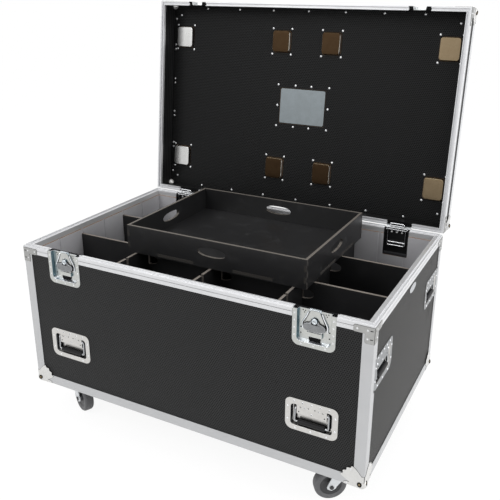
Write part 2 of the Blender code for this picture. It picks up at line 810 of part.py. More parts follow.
def ball(x, y, z):
    """A coarse ball."""
    profile = [
        (math.sin(math.pi * k / BALL_BANDS), -math.cos(math.pi * k / BALL_BANDS))
        for k in range(1, BALL_BANDS)
    ]

    def place(a, b, h):
        return (x + BALL_R * a, y + BALL_R * b, z + BALL_R * h)
    return lathe(profile, BALL_SIDES, place, BALL_TURN)


def ear_outline():
    """One ear of a ball corner, with a lobe at each end, counted from the case's corner."""
    start = -EAR_T / 2
    points = [(start, EAR_START), (EAR_START, start), (EAR_REACH - BALL_IN, start)]
    steps = 6
    for k in range(steps + 1):
        angle = math.pi / 2 * k / steps
        reach = EAR_REACH * (1.0 - EAR_LOBE_SHARE * (1.0 - math.cos(4 * angle)))
        points.append((reach * math.cos(angle), reach * math.sin(angle)))
    points.append((start, EAR_REACH - BALL_IN))
    return points


def corner_plates(outline, level, out, low, high, faces="xyz"):
    """One plate at each corner for each face asked for, standing out from low to high."""
    found = {face: [] for face in faces}
    for sx in (-1, 1):
        for sy in (-1, 1):
            x, y = sx * HALF_W, sy * HALF_D
            places = {
                "x": lambda a, b, t, x=x, y=y, sx=sx, sy=sy: (x + sx * t, y - sy * a, level - out * b),
                "y": lambda a, b, t, x=x, y=y, sx=sx, sy=sy: (x - sx * a, y + sy * t, level - out * b),
                "z": lambda a, b, t, x=x, y=y, sx=sx, sy=sy: (x - sx * a, y - sy * b, level + out * t),
            }
            for face in faces:
                found[face].append(prism(outline, places[face], low, high))
    return [found[face] for face in faces]


def brace_rivets(level, out, height):
    """The rivets that hold the braces on the upright angles, right through both."""
    solids = []
    drop = (BRACE_BAND + height) / 2 + BRACE_BAND / 4
    for sx in (-1, 1):
        for sy in (-1, 1):
            x, y = sx * HALF_W, sy * HALF_D
            post = BRACE_POST / 2

            def on_x(a, b, t, x=x, y=y, sx=sx, sy=sy):
                return (x + sx * t, y - sy * (post + a), level - out * (drop + b))

            def on_y(a, b, t, x=x, y=y, sx=sx, sy=sy):
                return (x - sx * (post + a), y + sy * t, level - out * (drop + b))
            for place in (on_x, on_y):
                profile = [
                    (RIVET_R, -ALU / 2), (RIVET_R, GAP + BRACE_T + GAP),
                    (RIVET_R * RIVET_TOP_SHARE, GAP + BRACE_T + RIVET_H),
                ]
                solids.append(lathe(profile, RIVET_SIDES, place))
    return solids


def handle_notches():
    """Notches in the upright angles for the side handles, whose flanges reach over them."""
    half_y = HANDLE_W / 2 + GAP
    half_z = HANDLE_H / 2 + GAP
    cuts = []
    for sx in (-1, 1):
        inside = sx * (HALF_W - ALU - OVERRUN)
        outside = sx * (HALF_W + OVERRUN)
        for sy in (-1, 1):
            y = sy * SIDE_HANDLE_Y
            low = (min(inside, outside), y - half_y, SIDE_HANDLE_Z - half_z)
            cuts.append(block(low, (max(inside, outside), y + half_y, SIDE_HANDLE_Z + half_z)))
    return cuts


def frame(name, level, out, loop, posts, brace_level, brace_drop, origin, parent):
    """Edge angles, corner angles, ball corners and braces, riveted into one frame.

    Level is the outer face, and out is -1 for a frame below and 1 for one above.
    """
    balls = [
        ball(sx * (HALF_W - BALL_IN), sy * (HALF_D - BALL_IN), level - out * BALL_IN)
        for sx in (-1, 1) for sy in (-1, 1)
    ]
    edge_x = HALF_W - ALU / 2
    edge_y = HALF_D - ALU / 2
    near = level - out * ALU / 2
    far = level - out * (BALL_IN + 2 * BALL_R)
    core = block((-edge_x, -edge_y, min(near, far)), (edge_x, edge_y, max(near, far)))
    steps = [("UNION", posts)]
    if parent is None:
        steps.append(("DIFFERENCE", handle_notches()))
    wrap = -(GAP + BRACE_T / 2)
    outline = [
        (wrap, 0.0), (BRACE_ARM, 0.0), (BRACE_ARM, BRACE_BAND), (BRACE_POST, BRACE_BAND),
        (BRACE_POST, brace_drop), (wrap, brace_drop),
    ]
    for plates in corner_plates(outline, brace_level, -out, GAP, GAP + BRACE_T, "xy"):
        steps.append(("UNION", plates))
    steps.append(("UNION", brace_rivets(brace_level, -out, brace_drop)))
    steps.append(("UNION", shaped(name + "_balls", balls, [("DIFFERENCE", [core])], origin)))
    for ears in corner_plates(ear_outline(), level, out, -ALU / 4, EAR_T):
        steps.append(("UNION", ears))
    piece(name, "extrusion", [loop], origin, parent, steps)


# Handles

def handle_dish():
    """One handle dish and the plate over its springs, in the fitting's own frame."""
    centre = (0.0, RECESS_UP)
    mouth = rounded(centre, RECESS_W, RECESS_H, RECESS_R, RECESS_R)
    floor_w = RECESS_W - 2 * RECESS_DRAFT
    floor_h = RECESS_H - 2 * RECESS_DRAFT
    floor = rounded(centre, floor_w, floor_h, RECESS_R - RECESS_DRAFT, RECESS_R - RECESS_DRAFT)
    flange = rounded((0.0, 0.0), HANDLE_W, HANDLE_H, HANDLE_LOW_R, HANDLE_TOP_R)
    grow = 2 * SHEET
    back = rounded(centre, RECESS_W + grow, RECESS_H + grow, RECESS_R, RECESS_R)
    floor_back = rounded(centre, floor_w + grow, floor_h + grow, RECESS_R, RECESS_R)
    depths = (FLANGE_IN, FLANGE_BACK, DISH_DEPTH, DISH_BACK)
    dish = pressing(floor, mouth, flange, back, floor_back, depths, plain)
    top = RECESS_UP + floor_h / 2 + SHEET / 2
    cover = block(
        (-COVER_HALF, COVER_FRONT, PIVOT_UP - COVER_DROP), (COVER_HALF, DISH_DEPTH + SHEET / 2, top))
    return shaped("handle_dish", [dish], [("UNION", [cover])])


def bail():
    """The wire of a handle, from one pivot round the grip to the other, pivot at the origin."""
    out = GRIP_IN - PIVOT_IN
    low = -BAIL_ARM
    tip = COVER_HALF + GAP
    half = []
    half.append((-tip, 0.0, 0.0))
    half.append((-BAIL_HALF + BAIL_WIRE / 2, 0.0, 0.0))
    half.append((-BAIL_HALF, out / 8, -BAIL_WIRE / 2))
    half.append((-BAIL_HALF, out, low + BAIL_BEND))
    half.append((-BAIL_HALF + BAIL_BEND / 3, out, low + BAIL_BEND / 3))
    half.append((-BAIL_HALF + BAIL_BEND, out, low))
    other = [(-x, y, z) for x, y, z in reversed(half)]
    return wire(half + other, BAIL_WIRE, 6)


def grip():
    """The moulded grip round the bail's lower bar."""
    out = GRIP_IN - PIVOT_IN
    profile = [
        (GRIP_R - BAIL_WIRE / 2, -GRIP_HALF), (GRIP_R, -GRIP_HALF + BAIL_WIRE),
        (GRIP_R, GRIP_HALF - BAIL_WIRE), (GRIP_R - BAIL_WIRE / 2, GRIP_HALF),
    ]
    return lathe(profile, 8, lambda a, b, h: (h, out + a, -BAIL_ARM + b), math.pi / 8)


def handles():
    """Six recessed spring handles: two in front and two on each side."""
    dish_mesh = handle_dish()
    bail_mesh = shaped("handle_bail", [bail()], [("UNION", [grip()])])
    for name, centre, turn in HANDLES:
        place = Matrix.Translation(centre) @ Matrix.Rotation(turn, 4, "Z")
        copy_of(dish_mesh, "handle_dish_" + name, "zinc", centre, turn)
        pivot = place @ Vector((0.0, PIVOT_IN, PIVOT_UP))
        copy_of(bail_mesh, "handle_bail_" + name, "rubber_black", pivot, turn)


# Latches

def latch_dish(centre):
    """The dish of a latch, open at the rim."""
    def place(a, b, depth):
        return front(centre + a, b, depth)
    flange = hanging(LATCH_W, LATCH_H, LATCH_R, BASE_H)
    mouth = hanging(LATCH_RECESS_W, LATCH_RECESS_H, LATCH_RECESS_R, BASE_H)
    grow = 2 * SHEET
    back = hanging(LATCH_RECESS_W + grow, LATCH_RECESS_H + SHEET, LATCH_RECESS_R + SHEET, BASE_H)
    depths = (FLANGE_IN, FLANGE_BACK, DISH_DEPTH, DISH_BACK)
    return open_pressing(flange, mouth, back, depths, place)


def hook_plate(name, centre):
    """The sliding hook with its spindle slot, its window and its lip."""
    top = BASE_H + HOOK_RISE
    foot = BOSS_Z - HOOK_DROP
    outline = [
        (centre - HOOK_HALF, foot), (centre + HOOK_HALF, foot), (centre + HOOK_HALF, top),
        (centre - HOOK_HALF, top),
    ]
    slot_half = SPINDLE_R + 2 * GAP
    slot = [
        (centre - slot_half, BOSS_Z - slot_half - HOOK_TRAVEL),
        (centre + slot_half, BOSS_Z - slot_half - HOOK_TRAVEL),
        (centre + slot_half, BOSS_Z + slot_half), (centre - slot_half, BOSS_Z + slot_half),
    ]
    window = rounded((centre, BASE_H - WINDOW_DROP), WINDOW_W, WINDOW_H, GAP, GAP, 1)
    origin = Vector(front(centre, BOSS_Z, HOOK_IN))
    plate = prism(outline, front, HOOK_IN, HOOK_IN + HOOK_T, [slot, window])
    low = front(centre - LIP_HALF, top - LIP_H, HOOK_IN - LIP_OUT)
    high = front(centre + LIP_HALF, top - GAP, HOOK_IN + HOOK_T / 2)
    piece("latch_hook_" + name, "zinc", [plate], origin, None, [("UNION", [block(low, high)])])


def boss():
    """The round boss with its spindle, about the twist axis."""
    profile = [
        (SPINDLE_END_SHARE * SPINDLE_R, DISH_DEPTH - GAP), (SPINDLE_R, DISH_DEPTH - GAP),
        (SPINDLE_R, HOOK_IN - GAP), (BOSS_R, HOOK_IN - GAP),
        (BOSS_R, BOSS_IN + BOSS_CHAMFER), (BOSS_R - BOSS_CHAMFER, BOSS_IN),
    ]
    return lathe(profile, 12, lambda a, b, h: (a, h - WING_IN - WING_T / 2, b))


def wing_outline():
    """Half of the butterfly wing, from its inner ear down to the middle of its lower edge."""
    edge = [(across * WING_HALF, -down * WING_DROP) for across, down in WING_EDGE_SHARES]
    return [(EAR_IN, EAR_UP), (EAR_IN + EAR_UP, EAR_UP), *edge]


def wing():
    """The folding butterfly wing, about its fold axis."""
    half = wing_outline()
    inner = [(-EAR_IN, -WING_CLEAR), (EAR_IN, -WING_CLEAR)]
    outline = inner + half + [(-a, b) for a, b in reversed(half)]
    return prism(outline, plain, -WING_T / 2, WING_T / 2)


def latches():
    """Two recessed butterfly latches in the front wall."""
    for name, side in SIDES:
        centre = side * LATCH_X
        piece("latch_dish_" + name, "zinc", [latch_dish(centre)])
        hook_plate(name, centre)
        pivot = front(centre, BOSS_Z, WING_IN + WING_T / 2)
        for kind, solid, surface in (("boss", boss(), "chrome"), ("wing", wing(), "zinc")):
            full = "latch_" + kind + "_" + name
            mesh = mesh_of(full, [solid], Vector())
            mesh.materials.append(finish(full, surface))
            add(full, mesh, pivot)


def keepers(lid):
    """The open dishes on the lid that the hooks reach into."""
    for name, side in SIDES:
        centre = side * LATCH_X

        def place(a, b, depth, centre=centre):
            return front(centre + a, LID_FOOT - b, depth)
        grow = 2 * SHEET
        flange = hanging(KEEPER_W, KEEPER_H, KEEPER_R, 0.0)
        mouth = hanging(KEEPER_RECESS_W, KEEPER_RECESS_H, KEEPER_RECESS_R, 0.0)
        back = hanging(
            KEEPER_RECESS_W + grow, KEEPER_RECESS_H + SHEET, KEEPER_RECESS_R + SHEET, 0.0)
        depths = (FLANGE_IN, FLANGE_BACK, DISH_DEPTH, DISH_BACK)
        dish = open_pressing(flange, mouth, back, depths, place)
        piece("latch_keeper_" + name, "zinc", [dish], LID_AXIS, lid)


# Hinges and lid stays

def knuckle(up):
    """Outline of a knuckle with the tab that joins it to its leaf; up is 1 on the lid."""
    inner = -(AXIS_OUT + LEAF_IN) + TAB_OVER
    outer = inner - LEAF_T - 2 * TAB_OVER
    start = math.acos(inner / KNUCKLE_R)
    points = arc((0.0, 0.0), KNUCKLE_R, up * start, -up * math.pi, 7)
    points += [(outer, 0.0), (outer, up * TAB_H), (inner, up * TAB_H)]
    return points


def hinge_leaf(centre, first, up):
    """A leaf plate, and the knuckles that join to it."""
    inner = HALF_D - LEAF_IN
    outer = inner - LEAF_T
    near = AXIS_Z + up * LEAF_CLEAR
    far = AXIS_Z + up * LEAF_H
    half = HINGE_W / 2
    low = (centre - half, outer, min(near, far))
    plate = block(low, (centre + half, inner, max(near, far)))
    pitch = (HINGE_W + KNUCKLE_GAP) / KNUCKLES
    knuckles = []
    for k in range(first, KNUCKLES, 2):
        start = centre - half + k * pitch
        end = start + pitch - KNUCKLE_GAP
        knuckles.append(prism(
            knuckle(up), lambda a, b, t: (t, AXIS_Y + a, AXIS_Z + b), start, end))
    return plate, knuckles


def along_hinge(centre, radius, proud):
    """A round bar on the hinge's axis, a little longer than the hinge."""
    half = HINGE_W / 2 + proud
    profile = [(radius, -half), (radius, half)]
    return lathe(profile, 8, lambda a, b, h: (centre + h, AXIS_Y + a, AXIS_Z + b))


def hinge_dish(centre):
    """The black dish inside the rear wall that a lid stay hangs in."""
    def place(a, b, depth):
        return rear(centre + a, b, depth)
    grow = 2 * SHEET
    level = (0.0, BASE_H - HINGE_DISH_DROP - HINGE_DISH_H / 2)
    outer = rounded(level, HINGE_W, HINGE_DISH_H, HINGE_DISH_R, HINGE_DISH_R, 1)
    inner_r = HINGE_DISH_R - SHEET
    inner = rounded(level, HINGE_W - grow, HINGE_DISH_H - grow, inner_r, inner_r, 1)
    levels = (
        (inner, LINING_OUT + SHEET), (inner, HINGE_DISH_FACE), (outer, HINGE_DISH_FACE),
        (outer, LINING_OUT),
    )
    return loft([[place(a, b, depth) for a, b in outline] for outline, depth in levels])


def stay_bar(centre, level):
    """A bar of a lid stay, across a hinge dish from side to side."""
    half = HINGE_W / 2 - SHEET / 2
    ends = [rear(centre - half, level, STAY_IN), rear(centre + half, level, STAY_IN)]
    return wire(ends, STAY_WIRE, STAY_SIDES)


def hinges(lid):
    """Two rear hinges, and the dishes behind them with the bars of the lid stays."""
    for name, side in SIDES:
        centre = side * HINGE_X
        plate, knuckles = hinge_leaf(centre, 0, -1)
        steps = [("UNION", knuckles), ("UNION", [along_hinge(centre, PIN_R, PIN_PROUD)])]
        piece("hinge_base_leaf_" + name, "zinc", [plate], steps=steps)
        plate, knuckles = hinge_leaf(centre, 1, 1)
        steps = [("UNION", knuckles), ("DIFFERENCE", [along_hinge(centre, KNUCKLE_BORE, OVERRUN)])]
        piece("hinge_lid_leaf_" + name, "zinc", [plate], LID_AXIS, lid, steps)
        drops = (STAY_DROP, STAY_DROP + STAY_PAIR, STAY_LOW_DROP, STAY_LOW_DROP + STAY_LOW_PAIR)
        bars = [stay_bar(centre, BASE_H - drop) for drop in drops]
        steps = [("UNION", bars)]
        piece("hinge_dish_" + name, "steel_black", [hinge_dish(centre)], steps=steps)


# Lid panels and fittings

def lid_dish(centre, width, length, radius, proud, draft, flange_back=FLANGE_BACK):
    """A dish pressed into the lid from outside; its back shows inside the lid."""
    back_in = PANEL_IN + LID_PLY + proud
    floor_in = back_in - SHEET
    shrink = 2 * draft
    grow = 2 * SHEET
    mouth = rounded(centre, width - grow, length - grow, radius - SHEET, radius - SHEET)
    floor_r = radius - SHEET
    floor = rounded(centre, width - grow - shrink, length - grow - shrink, floor_r, floor_r)
    rim = rounded(centre, width + 2 * CUP_FLANGE, length + 2 * CUP_FLANGE, radius, radius)
    back = rounded(centre, width, length, radius, radius)
    floor_back = rounded(centre, width - shrink, length - shrink, radius, radius)
    depths = (FLANGE_IN, flange_back, floor_in, back_in)
    return pressing(floor, mouth, rim, back, floor_back, depths, lid_top)


def cup_centres():
    """The middles of the eight wheel cups."""
    return [(side * x, s) for s in CUP_S for x in CUP_X for side in (-1, 1)]


def lid_panels(lid):
    """The lid's outer panel with its openings, and its four walls."""
    outer_x = HALF_W - PANEL_IN
    outer_y = HALF_D - PANEL_IN
    panel = block((-outer_x, -outer_y, LID_PANEL_IN), (outer_x, outer_y, LID_PANEL_OUT))
    grow = 2 * GAP
    label = (0.0, LABEL_S)
    holes = [rounded(centre, CUP_W - SHEET, CUP_L - SHEET, CUP_R, CUP_R) for centre in cup_centres()]
    holes.append(rounded(label, LABEL_W + grow, LABEL_L + grow, LABEL_R, LABEL_R))
    cuts = [prism(hole, lid_top, PANEL_IN - OVERRUN, LID_WALL_IN + OVERRUN) for hole in holes]
    cups = [
        lid_dish(centre, CUP_W, CUP_L, CUP_R, CUP_PROUD, CUP_DRAFT, PANEL_IN + GAP)
        for centre in cup_centres()
    ]
    trims = []
    for sx in (-1, 1):
        near, far = sx * (HALF_W - LID_TOP_LEG - GAP), sx * (HALF_W + OVERRUN)
        low = (min(near, far), -outer_y + OVERRUN, LID_PANEL_OUT + GAP / 2)
        trims.append(block(low, (max(near, far), outer_y - OVERRUN, LID_TOP + OVERRUN)))
    steps = [("DIFFERENCE", cuts), ("UNION", cups), ("DIFFERENCE", trims)]
    piece("lid_top_panel", "panel", [panel], LID_AXIS, lid, steps)
    dish = lid_dish(label, LABEL_W, LABEL_L, LABEL_R, LABEL_PROUD, LABEL_DRAFT)
    piece("label_dish", "label_steel", [dish], LID_AXIS, lid)


def lid_walls(lid):
    """The lid's four walls, with notches for the keepers."""
    top = LID_PANEL_IN - GAP
    foot = LID_WALL_FOOT
    outer_x = HALF_W - PANEL_IN
    outer_y = HALF_D - PANEL_IN
    inner_x = HALF_W - LID_WALL_IN
    inner_y = HALF_D - LID_WALL_IN
    outside = [(-outer_x, -outer_y), (outer_x, -outer_y), (outer_x, outer_y), (-outer_x, outer_y)]
    inside = [(-inner_x, -inner_y), (inner_x, -inner_y), (inner_x, inner_y), (-inner_x, inner_y)]
    ring = prism(outside, lambda a, b, t: (a, b, t), foot, top, [inside])
    notch = KEEPER_RECESS_W / 2 + SHEET + GAP
    notch_top = LID_FOOT + KEEPER_RECESS_H + SHEET + GAP
    cuts = []
    for _, side in SIDES:
        low = front(side * LATCH_X - notch, foot - OVERRUN, PANEL_IN - OVERRUN)
        high = front(side * LATCH_X + notch, notch_top, LID_WALL_IN + OVERRUN)
        cuts.append(block(low, high))
    piece("lid_walls", "panel", [ring], LID_AXIS, lid, [("DIFFERENCE", cuts)])


# Badge

def badge():
    """The blank oval badge on the right side."""
    outline = []
    for k in range(BADGE_SIDES):
        angle = math.tau * k / BADGE_SIDES
        y = BADGE_Y + BADGE_W / 2 * math.cos(angle)
        outline.append((y, BADGE_Z + BADGE_H / 2 * math.sin(angle)))
    face = PANEL_IN - GAP
    piece("side_badge", "badge", [prism(outline, right, face - BADGE_T, face)])


# Dividers and tray

def dividers():
    """Two long planks and three cross planks, halved into one another."""
    foot = FLOOR_PLY + GAP
    middle = (foot + PLANK_TOP) / 2
    end_x = HALF_W - PLANK_END
    end_y = HALF_D - PLANK_END
    slot = KERF_W / 2
    outline = [(-end_x, PLANK_TOP), (-end_x, foot)]
    for x in CROSS_X:
        outline += [(x - slot, foot), (x - slot, middle), (x + slot, middle), (x + slot, foot)]
    outline += [(end_x, foot), (end_x, PLANK_TOP)]
    radius = PLANK_HOLE_H / 2 - GAP
    level = PLANK_TOP - PLANK_HOLE_DROP
    holes = [rounded((x, level), PLANK_HOLE_W, PLANK_HOLE_H, radius, radius, 3) for x in CROSS_X]
    half = PLANK / 2
    for name, y in zip(("front", "rear"), LONG_Y):
        plank = prism(outline, lambda a, b, t, y=y: (a, y + t, b), -half, half, holes)
        piece("long_divider_" + name, "divider", [plank])
    outline = [(end_y, foot), (end_y, PLANK_TOP)]
    for y in reversed(KERFS_Y):
        outline += [
            (y + slot, PLANK_TOP), (y + slot, middle - GAP),
            (y - slot, middle - GAP), (y - slot, PLANK_TOP),
        ]
    outline += [(-end_y, PLANK_TOP), (-end_y, foot)]
    for name, x in zip(("left", "middle", "right"), CROSS_X):
        plank = prism(outline, lambda a, b, t, x=x: (x + t, a, b), -half, half)
        piece("cross_divider_" + name, "divider", [plank])


def tray():
    """The loose tray: four walls with hand holes, glued to a floor."""
    half_x = TRAY_W / 2
    half_y = TRAY_D / 2
    low_x, high_x = TRAY_X - half_x, TRAY_X + half_x
    low_y, high_y = TRAY_Y - half_y, TRAY_Y + half_y
    top = TRAY_FOOT + TRAY_H
    floor = TRAY_FOOT + TRAY_FLOOR_UP
    body = block((low_x, low_y, TRAY_FOOT), (high_x, high_y, top))
    inner_low = (low_x + TRAY_PLY, low_y + TRAY_PLY)
    inner_high = (high_x - TRAY_PLY, high_y - TRAY_PLY)
    inside = [
        block((*inner_low, floor + TRAY_PLY), (*inner_high, top + OVERRUN)),
        block((*inner_low, TRAY_FOOT - OVERRUN), (*inner_high, floor)),
    ]
    radius = HANDHOLE_H / 2 - GAP
    hand = rounded((0.0, TRAY_FOOT + HANDHOLE_UP), HANDHOLE_W, HANDHOLE_H, radius, radius, 3)
    along = prism(hand, lambda a, b, t: (TRAY_X + a, t, b), low_y - OVERRUN, high_y + OVERRUN)
    across = prism(hand, lambda a, b, t: (t, TRAY_Y + a, b), low_x - OVERRUN, high_x + OVERRUN)
    steps = [("DIFFERENCE", inside), ("DIFFERENCE", [along]), ("DIFFERENCE", [across])]
    piece("tray", "divider", [body], steps=steps)


# Casters

def caster_plate():
    """A caster's top plate with the upper half of its swivel race, about the swivel axis."""
    outline = rounded((0.0, 0.0), PLATE_W, PLATE_L, PLATE_R, PLATE_R, 1)
    plate = prism(outline, lambda a, b, t: (a, b, t), PLATE_FOOT, PLATE_TOP)
    profile = [
        (RACE_R, PLATE_FOOT + PLATE_T / 2), (RACE_R, PLATE_FOOT - RACE_H / 2),
        (RACE_R - RACE_TAPER, RACE_FOOT),
    ]
    race = lathe(profile, RACE_SIDES, lambda a, b, h: (a, b, h))
    return shaped("caster_plate", [plate], [("UNION", [race])])


def fork():
    """A swivel fork in its own frame: the swivel is Z, the wheel trails along +X."""
    inner = WHEEL_W / 2 + FORK_CLEAR
    outer = inner + FORK_T
    axle_z = WHEEL_Z
    crown = CROWN_TOP
    round_drop, round_half = FORK_ROUND_SHARES
    sections = [
        (-1, axle_z - FORK_END, TRAIL, FORK_TIP_SHARE * FORK_END),
        (-1, axle_z - round_drop * FORK_END, TRAIL, round_half * FORK_END),
        (-1, axle_z, TRAIL, FORK_END),
        (-1, crown - CROWN_BEND, 0.0, CROWN_HALF),
    ]
    rings = []
    for side, level, middle, half in sections:
        rings.append(fork_ring(side * outer, side * inner, level, level, middle, half))
    for side in (-1, 1):
        top, under = side * (outer - FORK_T), side * (inner - FORK_T)
        rings.append(fork_ring(top, under, crown, crown - FORK_T, 0.0, CROWN_HALF))
    for side, level, middle, half in reversed(sections):
        rings.append(fork_ring(-side * outer, -side * inner, level, level, middle, half))
    head = outer + BOLT_H
    seat = outer - FORK_T / 2
    profile = [
        (BOLT_R, -head), (BOLT_R, -seat), (AXLE_R, -seat),
        (AXLE_R, seat), (BOLT_R, seat), (BOLT_R, head),
    ]
    bolt = lathe(profile, 8, lambda a, b, h: (TRAIL + a, h, axle_z + b))
    return shaped("caster_fork", [loft(rings)], [("UNION", [bolt])])


def fork_ring(outer, inner, outer_z, inner_z, middle, half):
    """One section of the fork's strip: its outer edge, then its inner edge."""
    return [
        (middle - half, outer, outer_z), (middle + half, outer, outer_z),
        (middle + half, inner, inner_z), (middle - half, inner, inner_z),
    ]


def wheel():
    """A wheel about its own axle, with a flat facet of its tread on the ground."""
    corner = WHEEL_R / math.cos(math.pi / WHEEL_SIDES)
    half = WHEEL_W / 2
    hub = HUB_R * HUB_BOSS_SHARE
    tread = corner - TREAD_SHOULDER
    outer = [
        (AXLE_BORE, half), (hub, half), (HUB_R, half - HUB_IN), (tread, half),
        (corner, half - TREAD_SHOULDER),
    ]
    profile = [(radius, -height) for radius, height in outer] + outer[::-1]
    return lathe(profile, WHEEL_SIDES, lambda a, b, h: (a, h, b), math.pi / WHEEL_SIDES, True)


def casters():
    """Four swivel casters under the floor."""
    plate_mesh = caster_plate()
    fork_mesh = fork()
    wheel_mesh = mesh_of("caster_wheel", [wheel()], Vector())
    for name, x, y, turn in CASTERS:
        copy_of(plate_mesh, "caster_plate_" + name, "zinc", (x, y, 0.0), 0.0)
        copy_of(fork_mesh, "caster_fork_" + name, "zinc", (x, y, 0.0), turn)
        axle = (x + TRAIL * math.cos(turn), y + TRAIL * math.sin(turn), WHEEL_Z)
        copy_of(wheel_mesh, "caster_wheel_" + name, "tyre", axle, turn)


def build():
    for obj in list(bpy.data.objects):
        bpy.data.objects.remove(obj, do_unlink=True)
    lid = add("lid_hinge_axis", None, LID_AXIS)
    lid.rotation_euler = (-LID_OPEN, 0.0, 0.0)
    base_panels()
    lining()
    base_extrusions()
    handles()
    latches()
    hinges(lid)
    badge()
    lid_panels(lid)
    lid_walls(lid)
    lid_extrusions(lid)
    keepers(lid)
    dividers()
    tray()
    casters()


build()
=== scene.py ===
"""The looks of a road case on casters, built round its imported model.

Metres, +Z up, in the model's own frame. The latches face -Y, the hinges +Y, and the lid stands open.
Lid pieces are worked out with the lid shut and then turned open about its hinge.
"""

import math

import bpy
import numpy as np
from mathutils import Matrix, Vector
from mathutils.geometry import tessellate_polygon


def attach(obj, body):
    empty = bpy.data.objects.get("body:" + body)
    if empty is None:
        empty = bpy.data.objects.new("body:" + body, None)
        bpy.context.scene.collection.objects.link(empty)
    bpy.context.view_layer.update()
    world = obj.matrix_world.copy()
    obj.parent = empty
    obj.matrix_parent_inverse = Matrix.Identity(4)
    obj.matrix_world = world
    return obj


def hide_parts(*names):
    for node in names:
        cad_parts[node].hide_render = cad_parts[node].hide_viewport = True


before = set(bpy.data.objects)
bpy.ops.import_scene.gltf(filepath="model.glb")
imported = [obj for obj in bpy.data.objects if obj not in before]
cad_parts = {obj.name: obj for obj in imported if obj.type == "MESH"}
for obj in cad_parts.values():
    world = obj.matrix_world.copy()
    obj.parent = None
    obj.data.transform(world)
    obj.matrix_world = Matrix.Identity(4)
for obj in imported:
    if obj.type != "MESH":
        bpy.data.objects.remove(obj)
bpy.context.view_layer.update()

# Whole case
HALF_W, HALF_D = 0.6095, 0.3810
BASE_H, LID_FOOT, LID_TOP = 0.5140, 0.5146, 0.6106
LID_OPEN = math.radians(96.3)
AXIS_Y, AXIS_Z = 0.3845, 0.5143
FLOOR_Z = -0.1319
GAP, ALU, SHEET = 0.0003, 0.0016, 0.0012
SMALL, SLIGHT = 0.0006, 0.0004      # the usual roundings of an edge, on an extrusion and on a plate
DARK_EDGE, LINE_EDGE = 0.0002, 0.00005      # those of the thin dark pieces of painted shade
SIDES = (("left", -1), ("right", 1))
QUARTERS = ((-1, -1), (-1, 1), (1, -1), (1, 1))

# Extrusions
RIM_W, RIM_TOP, RIM_OUTER_LEG, RIM_INNER_LEG = 0.0240, 0.0020, 0.0250, 0.0195
RIM_LINE = ((0.0, 0.0100), (0.0005, 0.0104), (0.0005, 0.0126), (0.0, 0.0130))    # (in, away from the joint)
TONGUE_IN, TONGUE_W, TONGUE_H = 0.0070, 0.0040, 0.0050
BOTTOM_LEG, ANGLE_LEG, FOOT, NOSE = 0.0320, 0.0330, 0.0019, 0.0022
POST_NOTCH = (0.2972, 0.4028, 0.0257)       # foot, head and width of a post's leg behind a handle
LID_RIM_W, LID_RIM_LEG, LID_RIM_INNER_LEG = 0.0156, 0.0300, 0.0120
GROOVE_IN, GROOVE_W, GROOVE_H = 0.0055, 0.0080, 0.0065
LID_ANGLE_LEG, LID_TOP_LEG = 0.0300, 0.0250
LATCH_X, LATCH_HALF, KEEPER_HALF = 0.4395, 0.0643, 0.0383
HINGE_X, HINGE_HALF = 0.4500, 0.0456
CUT_IN, WEB_END = 0.0143, 0.0186

# Ball corners and braces
BALL_R, BALL_IN, BALL_SINK = 0.0165, 0.0102, 0.0108
SOCKET_SPREAD, SOCKET_SINK = 0.48, 0.0045
SOCKET_FLOOR = [(0.0001, 0.0108), (0.0069, 0.0108), (0.0069, 0.0150), (0.0001, 0.0140)]
SOCKET_BOLT = [(0.00005, 0.0129), (0.00345, 0.0129), (0.00345, 0.0150), (0.00005, 0.0145)]
EAR_REACH, LID_EAR_REACH, FLAT_EAR_REACH = 0.078, 0.060, 0.056
EAR_LOW, EAR_T, EAR_START = 0.00015, 0.0015, 0.012
BRACE_ARM, BRACE_BAND, BRACE_POST, BRACE_T, BRACE_BELOW = 0.058, 0.020, 0.026, 0.0010, 0.0060
BRACE_DROP, LID_BRACE_DROP, BRACE_START = 0.048, 0.036, 0.0002

# Pressed dishes
FLANGE_IN, FLANGE_BACK, DISH_DEPTH, DISH_BACK = 0.0004, 0.0016, 0.0125, 0.0137
RIVET_R, RIVET_H, INNER_RIVET_R = 0.0031, 0.0016, 0.0042
BOSS_Z, WING_IN = 0.4840, 0.0045
HOOK_IN, HOOK_T, HOOK_RISE = 0.0102, 0.0020, 0.0040
PIVOT_UP, PIVOT_IN, BAIL_DROP, BAIL_HALF = 0.0200, 0.0070, 0.0440, 0.0520
CUP_X, CUP_S, CUP_DEEP = (0.1023, 0.5403), (0.1385, 0.6290), 0.012
LABEL_S, LABEL_DEEP = 0.3864, 0.0020
PANEL_IN, LID_PLY = 0.0019, 0.0090
LID_PANEL_BACK = PANEL_IN + LID_PLY

# Inside
PLANK, PLANK_TOP, PLANK_FOOT, KERF_HALF = 0.0090, 0.4775, 0.0123, 0.0048
PLANK_END_X, PLANK_END_Y = 0.5852, 0.3567
CROSS_X = (-0.2925, 0.0, 0.2925)
KERFS_Y = (-0.243, -0.124, -0.005, 0.114, 0.233)
LONG_Y = (KERFS_Y[1], KERFS_Y[3])
TRAY_FOOT, TRAY_H, TRAY_PLY = 0.4778, 0.0960, 0.0090
TRAY_HALF_X, TRAY_HALF_Y, TRAY_X, TRAY_Y = 0.330, 0.250, 0.005, 0.0605
TRAY_FLOOR = TRAY_FOOT + 0.0047
TABS_X = ((-0.208, -0.069), (0.078, 0.217))
TABS_Y = ((-0.1390, -0.0080), (0.0400, 0.1710))

